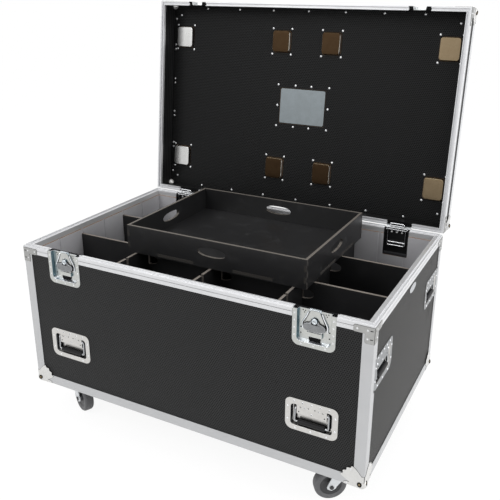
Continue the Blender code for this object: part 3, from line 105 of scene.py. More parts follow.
# Casters: swivel place and the way each wheel trails, in degrees
WHEEL_R, WHEEL_HALF, TRAIL = 0.0508, 0.0175, 0.040
FORK_OUT, FORK_T, FORK_CROWN, FORK_TIP = WHEEL_HALF + 0.0065, 0.003, -0.0141, 0.0119
AXLE_Z = FLOOR_Z + WHEEL_R
CASTERS = (
    ("front_left", -0.5145, -0.2850, -26.0), ("front_right", 0.5145, -0.2850, -144.1),
    ("rear_left", -0.5145, 0.2850, 150.0), ("rear_right", 0.5145, 0.2850, 196.0),
)

# Handles: middle of the dish and the turn that makes it face out
HANDLES = (
    ("front_left", (-0.442, -HALF_D, 0.178), 0.0), ("front_right", (0.442, -HALF_D, 0.178), 0.0),
    ("right_front", (HALF_W, -0.274, 0.350), 90.0), ("right_rear", (HALF_W, 0.274, 0.350), 90.0),
    ("left_front", (-HALF_W, -0.274, 0.350), -90.0), ("left_rear", (-HALF_W, 0.274, 0.350), -90.0),
)


# Places: a along a face, b up or across it, depth inward from the outside of the case

def spread(*columns):
    """Columns of numbers matched in shape and stacked as points."""
    return np.stack(np.broadcast_arrays(*columns), -1).astype(float)


def front(a, b, depth):
    return spread(a, depth - HALF_D, b)


def rear(a, b, depth):
    return spread(a, HALF_D - depth, b)


def right(a, b, depth):
    return spread(HALF_W - depth, a, b)


def lid_top(a, b, depth):
    """The lid's outer face when it is shut, with b from its rear edge."""
    return spread(a, HALF_D - b, LID_TOP - depth)


def plain(a, b, depth):
    """A fitting's own frame, outward along -Y."""
    return spread(a, depth, b)


def crosswise(a, b, depth):
    return spread(depth, a, b)


def upright(a, b, height):
    return spread(a, b, height)


def axle(a, b, out):
    """A caster's own frame, out along the axle of its wheel."""
    return spread(TRAIL + a, out, AXLE_Z + b)


def shifted(place, da=0.0, db=0.0, deeper=0.0):
    """A place counted from another point."""
    return lambda a, b, depth: place(da + a, db + b, deeper + depth)


def flipped(place):
    """A place whose depth counts the other way."""
    return lambda a, b, depth: place(a, b, -depth)


def aimed(middle, way):
    """A place round a middle, with its height along a direction."""
    side = np.cross(way, (0, 0, 1.0))
    side /= np.linalg.norm(side)
    up = np.cross(side, way)
    return lambda a, b, h: middle + a[..., None] * side + b[..., None] * up + h[..., None] * way


# Curves in a plane

def eased(points, radius, steps=3, closed=False):
    """A polyline with curved corners: (1-t)^2 a + 2t(1-t) p + t^2 b, with a and b a radius from corner p."""
    points = np.asarray(points, float)
    reach = np.broadcast_to(radius, len(points))[:, None]

    def toward(other):
        way = other - points
        length = np.maximum(np.linalg.norm(way, axis=1, keepdims=True), 1e-9)
        return points + way * np.minimum(reach / length, 0.45)
    a, b = toward(np.roll(points, 1, 0)), toward(np.roll(points, -1, 0))
    t = np.linspace(0, 1, steps + 1)[:, None, None]
    curves = ((1 - t) ** 2 * a + 2 * t * (1 - t) * points + t * t * b).transpose(1, 0, 2)
    if closed:
        return curves.reshape(-1, points.shape[1])
    return np.concatenate([points[:1], curves[1:-1].reshape(-1, points.shape[1]), points[-1:]])


def rounded(middle, half, radii, steps=6):
    """A rounded rectangle: four corner middles plus their radius times (cos, sin), anticlockwise."""
    low, top = np.broadcast_to(radii, 2)
    radius = np.array([low, low, top, top])[:, None]
    signs = np.array([(-1, -1), (1, -1), (1, 1), (-1, 1)])
    centres = np.asarray(middle) + signs * (np.asarray(half) - radius)
    angle = math.pi + np.arange(4)[:, None] * math.pi / 2 + np.linspace(0, math.pi / 2, steps + 1)
    return (centres[:, None] + radius[:, None] * spread(np.cos(angle), np.sin(angle))).reshape(-1, 2)


def oval(middle, half, power=2.3, count=40):
    """A superellipse: half width |cos t|^(2/p), half height |sin t|^(2/p), with the signs of cos and sin."""
    t = (np.arange(count) + 0.5) * math.tau / count
    c, s = np.cos(t), np.sin(t)
    bulge = spread(np.sign(c) * abs(c) ** (2 / power), np.sign(s) * abs(s) ** (2 / power))
    return np.asarray(middle) + bulge * half


def hanging(half, drop, radius, top, steps=7):
    """A U from the top left, round two lower quarter circles, to the top right."""
    angle = np.linspace(0, math.pi / 2, steps + 1)
    corner = spread(np.cos(angle + math.pi), np.sin(angle + math.pi)) * radius
    low = corner + (-half + radius, top - drop + radius)
    return np.concatenate([[(-half, top)], low, low[::-1] * (-1, 1), [(half, top)]])


def toothed(spans, inner, outer):
    """Points (along, out) of an edge that steps from inner to outer and back over each span."""
    return np.array([point for a, b in spans for point in ((a, inner), (a, outer), (b, outer), (b, inner))])


def area(loop):
    """Signed area: half the sum of x1 y2 - x2 y1."""
    x, y = np.asarray(loop, float).T
    return 0.5 * float(np.sum(x * np.roll(y, -1) - np.roll(x, -1) * y))


def inset(loop, distance):
    """A loop moved to its left: each point along the mitre of its two edges' normals."""
    edge = np.roll(loop, -1, 0) - loop
    edge /= np.maximum(np.linalg.norm(edge, axis=1, keepdims=True), 1e-9)
    normal = spread(-edge[:, 1], edge[:, 0])
    before = np.roll(normal, 1, 0)
    share = np.maximum(1 + np.sum(normal * before, 1, keepdims=True), 0.3)
    return loop + distance * (normal + before) / share


def grown(loop, distance):
    """A loop moved outward, or inward where the distance is negative, whichever way it runs."""
    return inset(loop, -distance if area(loop) > 0 else distance)


# Closed skins: points and blocks of faces, each block an array with one face in a row

def skin(rings, wrap=False, caps=True, seam=True):
    """Rings of points joined in turn; wrap joins the last to the first, and caps close both ends.

    Rings without a seam stop at a straight side, which one hat-shaped face closes.
    """
    rings = np.asarray(rings, float)
    rows, cols = rings.shape[:2]
    steps = np.arange(rows if wrap else rows - 1), np.arange(cols if seam else cols - 1)
    r, c = np.meshgrid(*steps, indexing="ij")
    up, over = (r + 1) % rows, (c + 1) % cols
    quads = np.stack([r * cols + c, r * cols + over, up * cols + over, up * cols + c], -1)
    blocks = [quads.reshape(-1, 4)]
    if caps and not wrap:
        blocks.append(np.stack([np.arange(cols)[::-1], np.arange((rows - 1) * cols, rows * cols)]))
    if not seam:
        first = np.arange(rows) * cols
        blocks.append(np.concatenate([first, (first + cols - 1)[::-1]])[None])
    return rings.reshape(-1, 3), blocks


def plate(loops, place, low, high, edge=SLIGHT):
    """Loops carried from low to high with their edges rounded off; loops after the first are holes.

    Returns points, blocks of faces and, for each block, 1 on an edge and 0 on a flat face.
    """
    rows = ((edge, low), (0.3 * edge, low + 0.3 * edge), (0, low + edge))
    rows += tuple((share, low + high - at) for share, at in reversed(rows))
    points, blocks, flats, lows, highs = [], [], [], [], []
    start = 0
    for k, loop in enumerate(loops):
        loop = np.asarray(loop, float)
        if (area(loop) < 0) != (k > 0):
            loop = loop[::-1]
        ring_points, ring_blocks = skin([place(*inset(loop, share).T, at) for share, at in rows], caps=False)
        points.append(ring_points)
        blocks += [block + start for block in ring_blocks]
        flats.append(inset(loop, edge))
        lows.append(start + np.arange(len(loop)))
        start += len(ring_points)
        highs.append(start - len(loop) + np.arange(len(loop)))
    corners = np.array(tessellate_polygon([spread(*flat.T, 0.0).tolist() for flat in flats]))
    flats, lows, highs = (np.concatenate(part) for part in (flats, lows, highs))
    (bx, by), (cx, cy) = (flats[corners[:, k]].T - flats[corners[:, 0]].T for k in (1, 2))
    corners = np.where((bx * cy - by * cx < 0)[:, None], corners[:, (0, 2, 1)], corners)
    blocks.append(np.stack([highs[corners], lows[corners[:, (0, 2, 1)]]], 1).reshape(-1, 3))
    return np.concatenate(points), blocks, [1] * len(loops) + [0]


def lathe(profile, sides, place, wrap=False):
    """(radius, height) turned round an axis: radius cos t, radius sin t and height."""
    t = np.arange(sides) * math.tau / sides
    radius, height = np.asarray(profile, float).T[:, :, None]
    return skin(place(radius * np.cos(t), radius * np.sin(t), height + 0 * t), wrap)


def tube(path, radius, normal=(0.0, 1.0, 0.0), sides=12, wrap=False):
    """A round wire: each path point plus radius (cos t side + sin t normal), side being tangent x normal."""
    path = np.asarray(path, float)
    if wrap:
        tangent = np.roll(path, -1, 0) - np.roll(path, 1, 0)
    else:
        tangent = np.gradient(path, axis=0)
    side = np.cross(tangent, normal)
    side /= np.linalg.norm(side, axis=1, keepdims=True)
    t = (np.arange(sides) * math.tau / sides)[None, :, None]
    ring = np.cos(t) * side[:, None] + np.sin(t) * np.asarray(normal, float)
    return skin(path[:, None] + radius * ring, wrap)


def pressed(rows, place, ease=0.0008, steps=6):
    """A pressed dish, floor to back: rounded rectangles of (half width, half height, corner radius, depth).

    A row of six has (lower corners' radius, upper corners' radius, rise) in place of the one radius.
    """
    rows = [row if len(row) == 6 else (*row[:3], row[2], 0.0, row[3]) for row in rows]
    return skin([
        place(*rounded((0.0, rise), (wide, high), (low, top), steps).T, depth)
        for wide, high, low, top, rise, depth in eased(rows, ease)
    ])


def open_pressed(rows, top, place, ease=0.0008):
    """A pressed dish that is open at its top: U shapes of (half width, drop, radius, depth)."""
    return skin([
        place(*hanging(half, drop, radius, top).T, depth) for half, drop, radius, depth in eased(rows, ease)
    ], seam=False)


def swept(section, stations, wrap=False):
    """A section of (inward, height) carried round the case: each station's point plus inward x its mitre."""
    inward, height = np.asarray(section, float).T
    rings = [spread(x + mx * inward, y + my * inward, height) for (x, y), (mx, my) in stations]
    return skin(rings, wrap)


def dome(radius, height, foot, place, spots, sides=12):
    """Rivet heads: radius cos s and foot + height sin s of one angle s, turned round each spot."""
    s = np.linspace(0, math.radians(78), 5)
    t = np.arange(sides) * math.tau / sides
    reach = np.concatenate([[radius], radius * np.cos(s)])[:, None]
    rise = np.concatenate([[foot + 0.0004 * np.sign(-height)], foot + height * np.sin(s)])[:, None]
    spots = np.asarray(spots, float).reshape(-1, 2)[:, :, None, None]
    points = place(spots[:, 0] + reach * np.cos(t), spots[:, 1] + reach * np.sin(t), rise + 0 * t)
    return points.reshape(len(points), -1, 3), skin(points[0])[1]


# Gathering skins into pieces

def volume(points, blocks):
    """Signed volume: a . (b x c) / 6 summed over each face's fan of triangles."""
    fans = ((points[block[:, :1]], points[block[:, 1:-1]], points[block[:, 2:]]) for block in blocks)
    return sum(float(np.sum(a * np.cross(b, c))) for a, b, c in fans) / 6


class Form:
    """Closed skins gathered into one mesh, each block of faces with the number of its finish."""

    def __init__(self):
        self.points, self.blocks, self.kinds, self.count = [], [], [], 0

    def add(self, shape, kind=0):
        """A skin, facing outward; a shape with its own kinds has kind added to them."""
        points, blocks, *kinds = shape
        way = -1 if volume(points - points.mean(0), blocks) < 0 else 1
        self.points.append(points)
        self.blocks += [block[:, ::way] + self.count for block in blocks]
        self.kinds += [kind + k for k in kinds[0]] if kinds else [kind] * len(blocks)
        self.count += len(points)
        return self

    def slab(self, place, low, high, *loops, edge=SLIGHT, kind=0):
        """A plate in one finish."""
        return self.add(plate(loops, place, low, high, edge)[:2], kind)

    def turned(self, place, profile, sides, ease, steps, kind=0, wrap=False):
        """A profile with eased corners, turned round the place's axis."""
        return self.add(lathe(eased(profile, ease, steps), sides, place, wrap), kind)

    def rivets(self, place, spots, depth=FLANGE_IN, radius=RIVET_R, height=RIVET_H, kind=0, eye=None):
        """Domed heads standing out from a face; eye is the finish of a small dark dome on a blind rivet's head,
        painted shade where its hole is.
        """
        points, blocks = dome(radius, -height, depth, place, spots)
        for head in points:
            self.add((head, blocks), kind)
        if eye is not None:
            # the eye: a small dark dome on the head, painted shade for the rivet's hole
            points, blocks = dome(0.42 * radius, -0.0003, depth - height, place, spots, 10)
            for hole in points:
                self.add((hole, blocks), eye)
        return self

    def make(self, name, body, slot, finishes, *nodes, matrix=None):
        """One object on its body, in the frame, standing for the nodes that it replaces."""
        points = np.concatenate(self.points)
        if body == "lid":
            matrix = LID_TURN
        if matrix is not None:
            turn = np.array(matrix)
            points = points @ turn[:3, :3].T + turn[:3, 3]
        mesh = bpy.data.meshes.new(name)
        mesh.from_pydata(points.tolist(), [], [face for block in self.blocks for face in block.tolist()])
        kinds = np.repeat(self.kinds, [len(block) for block in self.blocks])
        mesh.polygons.foreach_set("material_index", kinds.astype(np.int32))
        for finish in finishes:
            mesh.materials.append(finish.material)
        mesh.shade_smooth()
        mesh.set_sharp_from_angle(angle=math.radians(34))
        obj = bpy.data.objects.new(name, mesh)
        bpy.context.scene.collection.objects.link(obj)
        weigh = obj.modifiers.new("normals", "WEIGHTED_NORMAL")
        weigh.keep_sharp, weigh.weight = True, 80
        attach(obj, body)
        if nodes:
            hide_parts(*nodes)


def at(point, turn=0.0):
    """A fitting's frame: moved to a point and turned about Z, in degrees."""
    return Matrix.Translation(point) @ Matrix.Rotation(math.radians(turn), 4, "Z")


LID_AXIS = Matrix.Translation((0.0, AXIS_Y, AXIS_Z))
LID_TURN = LID_AXIS @ Matrix.Rotation(-LID_OPEN, 4, "X") @ LID_AXIS.inverted()
LID_SHUT = LID_TURN.inverted()


# Finishes

class Value:
    """A socket that adds Math nodes as it is used in an expression."""

    def __init__(self, nodes, socket):
        self.nodes, self.socket = nodes, socket

    def __add__(self, other):
        return self.nodes.math("ADD", self, other)

    def __sub__(self, other):
        return self.nodes.math("SUBTRACT", self, other)

    def __rsub__(self, other):
        return self.nodes.math("SUBTRACT", other, self)

    def __mul__(self, other):
        return self.nodes.math("MULTIPLY", self, other)

    def __truediv__(self, other):
        return self.nodes.math("DIVIDE", self, other)

    def __rtruediv__(self, other):
        return self.nodes.math("DIVIDE", other, self)

    def __abs__(self):
        return self.nodes.math("ABSOLUTE", self)

    __radd__ = __add__
    __rmul__ = __mul__


class Nodes:
    """A node tree and the one way in which nodes are added to it."""

    def __init__(self, tree):
        self.tree = tree

    def plug(self, socket, value):
        """Links a value to a socket, or sets a plain number, vector or colour on it."""
        if isinstance(value, Value):
            self.tree.links.new(value.socket, socket)
        elif socket.type == "RGBA":
            socket.default_value = (*value, 1.0)
        else:
            socket.default_value = value

    def node(self, kind, settings=None, values=None):
        """A node of one type: its settings first, then what its sockets take."""
        made = self.tree.nodes.new(kind)
        for setting, value in (settings or {}).items():
            setattr(made, setting, value)
        for socket, value in (values or {}).items():
            self.plug(made.inputs[socket], value)
        return made

    def value(self, node, output=0):
        return Value(self, node.outputs[output])

    def math(self, operation, *values):
        return self.value(self.node("ShaderNodeMath", {"operation": operation}, dict(enumerate(values))))

    def background_ray(self):
        """1 for the rays that show the background itself: those of the camera, of gloss and of glass."""
        path = self.node("ShaderNodeLightPath")
        kinds = ("Is Camera Ray", "Is Glossy Ray", "Is Transmission Ray")
        camera_ray, gloss, glass = (self.value(path, kind) for kind in kinds)
        return self.math("MAXIMUM", self.math("MAXIMUM", camera_ray, gloss), glass)


class Finish(Nodes):
    """A material and the nodes that it is made of; on the lid its pattern keeps to the lid."""

    def __init__(self, name, colour, roughness, metallic=0.0, lid=False, **more):
        self.material = bpy.data.materials.new(name)
        self.material.use_nodes = True
        super().__init__(self.material.node_tree)
        self.shader = self.tree.nodes["Principled BSDF"]
        self.feed({"Base Color": colour, "Roughness": roughness, "Metallic": metallic, **more})
        self.place = self.value(self.node("ShaderNodeTexCoord"), "Object")
        if lid:
            values = {"Vector": self.place, "Location": LID_SHUT.to_translation(),
                      "Rotation": LID_SHUT.to_euler()}
            self.place = self.value(self.node("ShaderNodeMapping", {}, values))

    def feed(self, values):
        for socket, value in values.items():
            self.plug(self.shader.inputs[socket], value)

    def mix(self, factor, first, second):
        """A colour between two others."""
        values = {0: factor, 6: first, 7: second}
        return self.value(self.node("ShaderNodeMix", {"data_type": "RGBA"}, values), 2)

    def ramp(self, value, low, high):
        """A smooth step from 0 at low to 1 at high."""
        values = {"Value": value, "From Min": low, "From Max": high, "To Min": 0.0, "To Max": 1.0}
        return self.value(self.node("ShaderNodeMapRange", {"interpolation_type": "SMOOTHSTEP"}, values))

    def along(self, axis):
        return self.value(self.node("ShaderNodeSeparateXYZ", {}, {0: self.place}), axis)

    def noise(self, scale, detail=3.0, stretch=(1.0, 1.0, 1.0), rough=0.5):
        """Noise between 0 and 1, stretched along the axes."""
        moved = self.value(self.node("ShaderNodeVectorMath", {"operation": "MULTIPLY"},
                                     {0: self.place, 1: stretch}))
        values = {"Vector": moved, "Scale": scale, "Detail": detail, "Roughness": rough}
        return self.value(self.node("ShaderNodeTexNoise", {}, values))

    def facing(self, axis, low, high):
        """0 to 1 as the surface turns toward an axis, either way along it."""
        normal = self.value(self.node("ShaderNodeTexCoord"), "Normal")
        part = self.node("ShaderNodeSeparateXYZ", {}, {0: normal})
        return self.ramp(abs(self.value(part, axis)), low, high)

    def bump(self, height, distance, strength=1.0):
        values = {"Height": height, "Distance": distance, "Strength": strength}
        self.feed({"Normal": self.value(self.node("ShaderNodeBump", {}, values))})
        return self


HEX_PITCH = 0.0072        # across the flats of the film's hexagons
FIELD, RIDGE = 0.2, 3.4   # how a hexagon and the ridge round it stand to the film's tone; the lighter ridge is a painted highlight
PLY = 0.0015              # thickness of one ply in a sawn edge


def film(name, across, up, tone, gloss, lid=False, warm=0.98):
    """Black phenolic film pressed with hexagons, their ridges painted lighter as a highlight: a hexagon is
    where max(p, p/2 + q sin 60) is small.
    """
    field, ridge = ((part * tone * warm, part * tone, part * tone / warm) for part in (FIELD, RIDGE))
    finish = Finish(name, field, 0.42, lid=lid, **{"Specular IOR Level": gloss})
    u = finish.along(across) / HEX_PITCH
    v = finish.along(up) / (HEX_PITCH * math.sqrt(3))
    cells = []
    for shift in (0.0, 0.5):
        p = abs(finish.math("FRACT", u + shift) - 0.5)
        q = abs(finish.math("FRACT", v + shift) - 0.5) * math.sqrt(3)
        cells.append(finish.math("MAXIMUM", p, p * 0.5 + q * math.sin(math.pi / 3)))
    rise = finish.ramp(finish.math("MINIMUM", *cells), 0.28, 0.40)
    wear = finish.ramp(finish.noise(9.0, 5.0, rough=0.7), 0.60, 0.78)
    grain = finish.noise(900.0, 2.0)
    # ridges lighter than the hexagons: painted highlight; the wear patches lighten it a little too
    finish.feed({
        "Base Color": finish.mix(wear * 0.06 + rise * 0.9, field, ridge),
        "Roughness": 0.30 + rise * 0.10 + wear * 0.12,
    })
    return finish.bump(rise + grain * 0.15, 0.0005)


def alloy(name, stretch, colour, lid=False):
    """Satin anodised aluminium: drawing lines along its length, soft smudges and a few scuffs."""
    finish = Finish(name, colour, 0.36, 0.5, lid)
    lines = finish.noise(60.0, 4.0, stretch, 0.6)
    smudge = finish.noise(14.0, 3.0)
    scuff = finish.ramp(finish.noise(230.0, 6.0, tuple(s * 0.2 + 0.1 for s in stretch), 0.8), 0.62, 0.72)
    dull = tuple(0.86 * part for part in colour)
    finish.feed({
        "Base Color": finish.mix(smudge * 0.5 + scuff * 0.4, colour, dull),
        "Roughness": 0.30 + lines * 0.10 + smudge * 0.10 + scuff * 0.12,
    })
    return finish.bump(lines, 0.00006, 0.35)


def zinc(name, bright, dull, rough=0.26, lid=False, walls=None, sills=None, bare=1.0):
    """Plated steel: faint crystals and handling marks; walls and sills give what faces along X and Z other
    colours, painted reflection and shade.
    """
    finish = Finish(name, bright, rough, bare, lid)
    values = {"Vector": finish.place, "Scale": 260.0}
    crystal = finish.value(finish.node("ShaderNodeTexVoronoi", {}, values), "Distance")
    cloud = finish.noise(38.0, 4.0, rough=0.65)
    marks = finish.ramp(finish.noise(420.0, 4.0, (1.0, 1.0, 0.25), 0.75), 0.55, 0.75)
    colour = finish.mix(cloud * 0.8 + crystal * 0.3, bright, dull)
    # faces along X take the walls colour and faces along Z the sills colour: painted reflection and shade
    for axis, tint in (("X", walls), ("Z", sills)):
        if tint:
            colour = finish.mix(finish.facing(axis, 0.35, 0.8), colour, tint)
    finish.feed({"Base Color": colour, "Roughness": rough + cloud * 0.14 + marks * 0.12})
    return finish.bump(crystal * 0.4 + cloud, 0.00012, 0.30)


def paint(name, colour, rough, grain, lid=False, worn=1.7, gloss=0.5):
    """Powder coat, moulded rubber or plastic: fine grain, patches of wear and a little dust."""
    finish = Finish(name, colour, rough, 0.0, lid, **{"Specular IOR Level": gloss})
    fine = finish.noise(500.0, 3.0)
    patch = finish.ramp(finish.noise(22.0, 5.0, rough=0.65), 0.50, 0.80)
    light = tuple(min(1.0, worn * part + 0.004) for part in colour)
    finish.feed({
        "Base Color": finish.mix(patch * 0.6 + fine * 0.15, colour, light),
        "Roughness": rough + patch * 0.12 + fine * 0.06,
    })
    return finish.bump(fine, grain, 0.5)


def sawn(name, axis, brown, dark, lid=False, shade=0.0):
    """A sawn plywood edge: plies across one axis, grain and saw marks; shade darkens what stands upright."""
    finish = Finish(name, brown, 0.7, lid=lid)
    ply = finish.math("FRACT", finish.along(axis) / (2 * PLY))
    seam = finish.ramp(abs(ply - 0.5), 0.20, 0.30)
    grain = finish.noise(420.0, 4.0, rough=0.7)
    patch = finish.noise(30.0, 3.0)
    colour = finish.mix(seam * 0.55 + grain * 0.4 + patch * 0.2, brown, dark)
    if shade:
        colour = finish.mix(finish.facing("Z", 0.5, 0.8), tuple(shade * part for part in dark), colour)
    finish.feed({"Base Color": colour, "Roughness": 0.62 + grain * 0.2})
    return finish.bump(grain + seam * 0.5, 0.00015, 0.6)


def laminate(name):
    """The lining: grey laminate on its faces, orange sawn plies where it faces up."""
    finish = paint(name, (0.53, 0.525, 0.545), 0.36, 0.00006, worn=1.15)
    face = Value(finish, finish.shader.inputs["Base Color"].links[0].from_socket)
    top = finish.facing("Z", 0.6, 0.8)
    brown = finish.mix(finish.noise(300.0, 4.0), (0.42, 0.22, 0.09), (0.22, 0.11, 0.05))
    finish.feed({"Base Color": finish.mix(top, face, brown)})
    return finish


def pair(kind, name, *values, **more):
    """A finish of the base, and the same one for the lid, where its pattern keeps to the lid."""
    return kind(name, *values, **more), kind("lid_" + name, *values, lid=True, **more)


FILM_FRONT = film("film_front", "X", "Z", 0.0095, 0.18)
# the side film's lighter, warmer tone than the front's is painted sheen from light grazing the side
FILM_SIDE = film("film_side", "Y", "Z", 0.0120, 0.05, warm=1.03)
FILM_FLOOR = film("film_floor", "X", "Y", 0.010, 0.2)
FILM_LID = film("film_lid", "X", "Y", 0.0075, 0.10, lid=True)
FILM_LID_WALL = film("film_lid_wall", "X", "Z", 0.0075, 0.10, lid=True)
FILM_TRAY = paint("film_tray", (0.010, 0.010, 0.0105), 0.34, 0.00008, worn=2.2)
FILM_PLANK = paint("film_plank", (0.009, 0.009, 0.0095), 0.40, 0.00008, worn=2.0)
# one anodised alloy in two tones: the level extrusions' lighter copy and the upright ones' darker copy are
# painted light and shade
LEVEL_ALLOY = alloy("alloy_level", (0.4, 0.4, 18.0), (0.75, 0.755, 0.77))
UPRIGHT_ALLOY = alloy("alloy_upright", (18.0, 18.0, 0.4), (0.57, 0.575, 0.585))
LID_ALLOY = alloy("alloy_lid", (0.4, 0.4, 18.0), (0.72, 0.725, 0.74), True)
BRACE_STEEL, LID_BRACE_STEEL = pair(zinc, "brace_steel", (0.50, 0.50, 0.49), (0.36, 0.36, 0.355), 0.42)
CORNER_STEEL, LID_CORNER_STEEL = pair(zinc, "corner_steel", (0.78, 0.775, 0.76), (0.64, 0.635, 0.62), 0.30,
                                      bare=0.65)
RIVET_STEEL, LID_RIVET_STEEL = pair(zinc, "rivet_steel", (0.86, 0.86, 0.87), (0.70, 0.71, 0.73), 0.20,
                                    bare=0.6)
# the dish walls painted dark teal and its sills bluish white: painted reflection and shade on the bends
DISH_ZINC = zinc("dish_zinc", (0.64, 0.645, 0.62), (0.46, 0.475, 0.46), walls=(0.17, 0.26, 0.30),
                 sills=(0.92, 0.95, 1.0))
# the hook's and boss's walls painted a darker blue grey: painted reflection
BRIGHT_ZINC = zinc("bright_zinc", (0.76, 0.80, 0.83), (0.58, 0.63, 0.66), 0.16, walls=(0.30, 0.40, 0.46))
# the handle dish walls painted darker: painted shade
HANDLE_ZINC = zinc("handle_zinc", (0.72, 0.71, 0.69), (0.54, 0.53, 0.51), 0.24, walls=(0.25, 0.26, 0.27))
LID_ZINC = zinc("lid_zinc", (0.68, 0.69, 0.69), (0.48, 0.50, 0.505), lid=True)
# WING_ZINC and WING_EDGE are one steel; the rim's lighter copy is a painted highlight
WING_ZINC = zinc("wing_zinc", (0.36, 0.37, 0.38), (0.16, 0.165, 0.17), 0.30)
WING_EDGE = zinc("wing_edge", (0.46, 0.47, 0.49), (0.30, 0.31, 0.32), 0.24)
CHROME = zinc("chrome", (0.88, 0.89, 0.91), (0.80, 0.81, 0.84), 0.08)
BAIL_STEEL = zinc("bail_steel", (0.50, 0.51, 0.52), (0.36, 0.37, 0.38), 0.12)
CASTER_ZINC = zinc("caster_zinc", (0.80, 0.82, 0.84), (0.58, 0.60, 0.62), bare=0.8)
# the eight cups are one pressed steel; the silver, brown and tan copies are painted reflection, and their wall
# and sill colours are painted highlight and shade on the bends
CUP_SILVER_REFLECTION = zinc("cup_silver", (0.78, 0.78, 0.77), (0.62, 0.62, 0.61), 0.22, True, (0.20, 0.19, 0.19))
CUP_BROWN_REFLECTION = zinc("cup_brown", (0.058, 0.037, 0.020), (0.032, 0.018, 0.009), lid=True,
                 walls=(0.86, 0.82, 0.75), sills=(0.42, 0.33, 0.22))
CUP_TAN_REFLECTION = zinc("cup_tan", (0.265, 0.205, 0.130), (0.195, 0.145, 0.086), lid=True,
               walls=(0.80, 0.74, 0.62), sills=(0.50, 0.42, 0.28))
LABEL_STEEL = zinc("label_steel", (0.265, 0.298, 0.318), (0.205, 0.228, 0.236), 0.40, True)
BOLT_BROWN = zinc("bolt_brown", (0.30, 0.24, 0.15), (0.16, 0.12, 0.07), 0.35)
# a pale, barely metallic copy of the rivet steel for rivets in a dark recess: painted highlight
HIGHLIT_RIVET = zinc("pale_rivet", (0.95, 0.95, 0.96), (0.85, 0.85, 0.86), 0.30, bare=0.1)
BADGE_FACE = zinc("badge_face", (0.62, 0.63, 0.65), (0.50, 0.51, 0.53), 0.3)
# DARK and LID_DARK: near-black plates, rings and dots set where there is only shade, in slots, recesses, holes
# and thin outlines round fittings: painted shade
DARK, LID_DARK = pair(paint, "dark_opening", (0.004, 0.004, 0.0045), 0.6, 0.00005, gloss=0.08)
STEEL_BLACK = paint("steel_black", (0.008, 0.008, 0.0085), 0.36, 0.00010, gloss=0.3)
GRIP_RUBBER = paint("grip_rubber", (0.009, 0.009, 0.010), 0.42, 0.00012, gloss=0.25)
TYRE_RUBBER = paint("tyre_rubber", (0.13, 0.13, 0.135), 0.55, 0.00020, worn=1.3)
HUB_PLASTIC = paint("hub_plastic", (0.030, 0.030, 0.033), 0.42, 0.00010)
PLY_TRAY = sawn("ply_tray", "Z", (0.165, 0.148, 0.13), (0.085, 0.075, 0.065), shade=0.3)
PLY_PLANK = sawn("ply_plank", "Y", (0.27, 0.24, 0.21), (0.15, 0.13, 0.115), shade=0.6)
PLY_LID = sawn("ply_lid", "Z", (0.30, 0.19, 0.10), (0.16, 0.09, 0.045), lid=True)


def dress(finish, *names):
    """A finish on CAD nodes whose shape is kept."""
    for name in names:
        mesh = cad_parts[name].data
        mesh.materials.clear()
        mesh.materials.append(finish.material)


# Extrusions

def stretches(front_half, rear_half):
    """The runs of a rim between its cuts: front middle, rear middle, then round each end of the case."""
    runs = [
        [((-LATCH_X + front_half, -HALF_D), (0, 1)), ((LATCH_X - front_half, -HALF_D), (0, 1))],
        [((HINGE_X - rear_half, HALF_D), (0, -1)), ((-HINGE_X + rear_half, HALF_D), (0, -1))],
    ]
    for side in (-1, 1):
        runs.append([
            ((side * (LATCH_X + front_half), -HALF_D), (0, 1)), ((side * HALF_W, -HALF_D), (-side, 1)),
            ((side * HALF_W, HALF_D), (-side, -1)), ((side * (HINGE_X + rear_half), HALF_D), (0, -1)),
        ])
    return runs


def rim(name, body, finishes, section, front_half, rear_half, front_strip, rear_strip, node):
    """A rim carried round the case, and the strips of it that stay behind the latches and the hinges, in the
    dark finish as painted shade.
    """
    form = Form()
    for stations in stretches(front_half, rear_half):
        form.add(swept(section, stations))
    for strip, x, half, inward in (
        (front_strip, LATCH_X, front_half, 1), (rear_strip, HINGE_X, rear_half, -1),
    ):
        for centre in (-x, x):
            stations = [((end, -inward * HALF_D), (0, inward)) for end in (centre - half, centre + half)]
            # the strips take the dark finish: painted shade behind the latches and the hinges
            form.add(swept(strip, stations), 1)
    form.make(name, body, "extrusion", finishes, node)


def base_rim():
    """The base rim: an outer leg with a fine line, a tongue bead, a web and an inner leg."""
    top = BASE_H
    section = eased([
        (0.0, top), (TONGUE_IN, top), (TONGUE_IN, top + TONGUE_H), (TONGUE_IN + TONGUE_W, top + TONGUE_H),
        (TONGUE_IN + TONGUE_W, top), (RIM_W, top), (RIM_W, top - RIM_INNER_LEG),
        (RIM_W - ALU, top - RIM_INNER_LEG), (RIM_W - ALU, top - RIM_TOP), (ALU, top - RIM_TOP),
        (ALU, top - RIM_OUTER_LEG), (0.0, top - RIM_OUTER_LEG),
        *((deep, top - away) for deep, away in RIM_LINE),
    ], 0.0009, 3, True)
    web = [(CUT_IN, top - RIM_TOP), (RIM_W - ALU, top - RIM_TOP), (RIM_W - ALU, top - RIM_INNER_LEG),
           (RIM_W, top - RIM_INNER_LEG), (RIM_W, top), (CUT_IN, top)]
    strip = [(CUT_IN, top - RIM_TOP), (WEB_END, top - RIM_TOP), (WEB_END, top), (CUT_IN, top)]
    rim("base_rim_extrusion", "case_base", [LEVEL_ALLOY, DARK], section, LATCH_HALF, HINGE_HALF,
        eased(web, SMALL, 2, True), eased(strip, SMALL, 2, True), "base_rim")


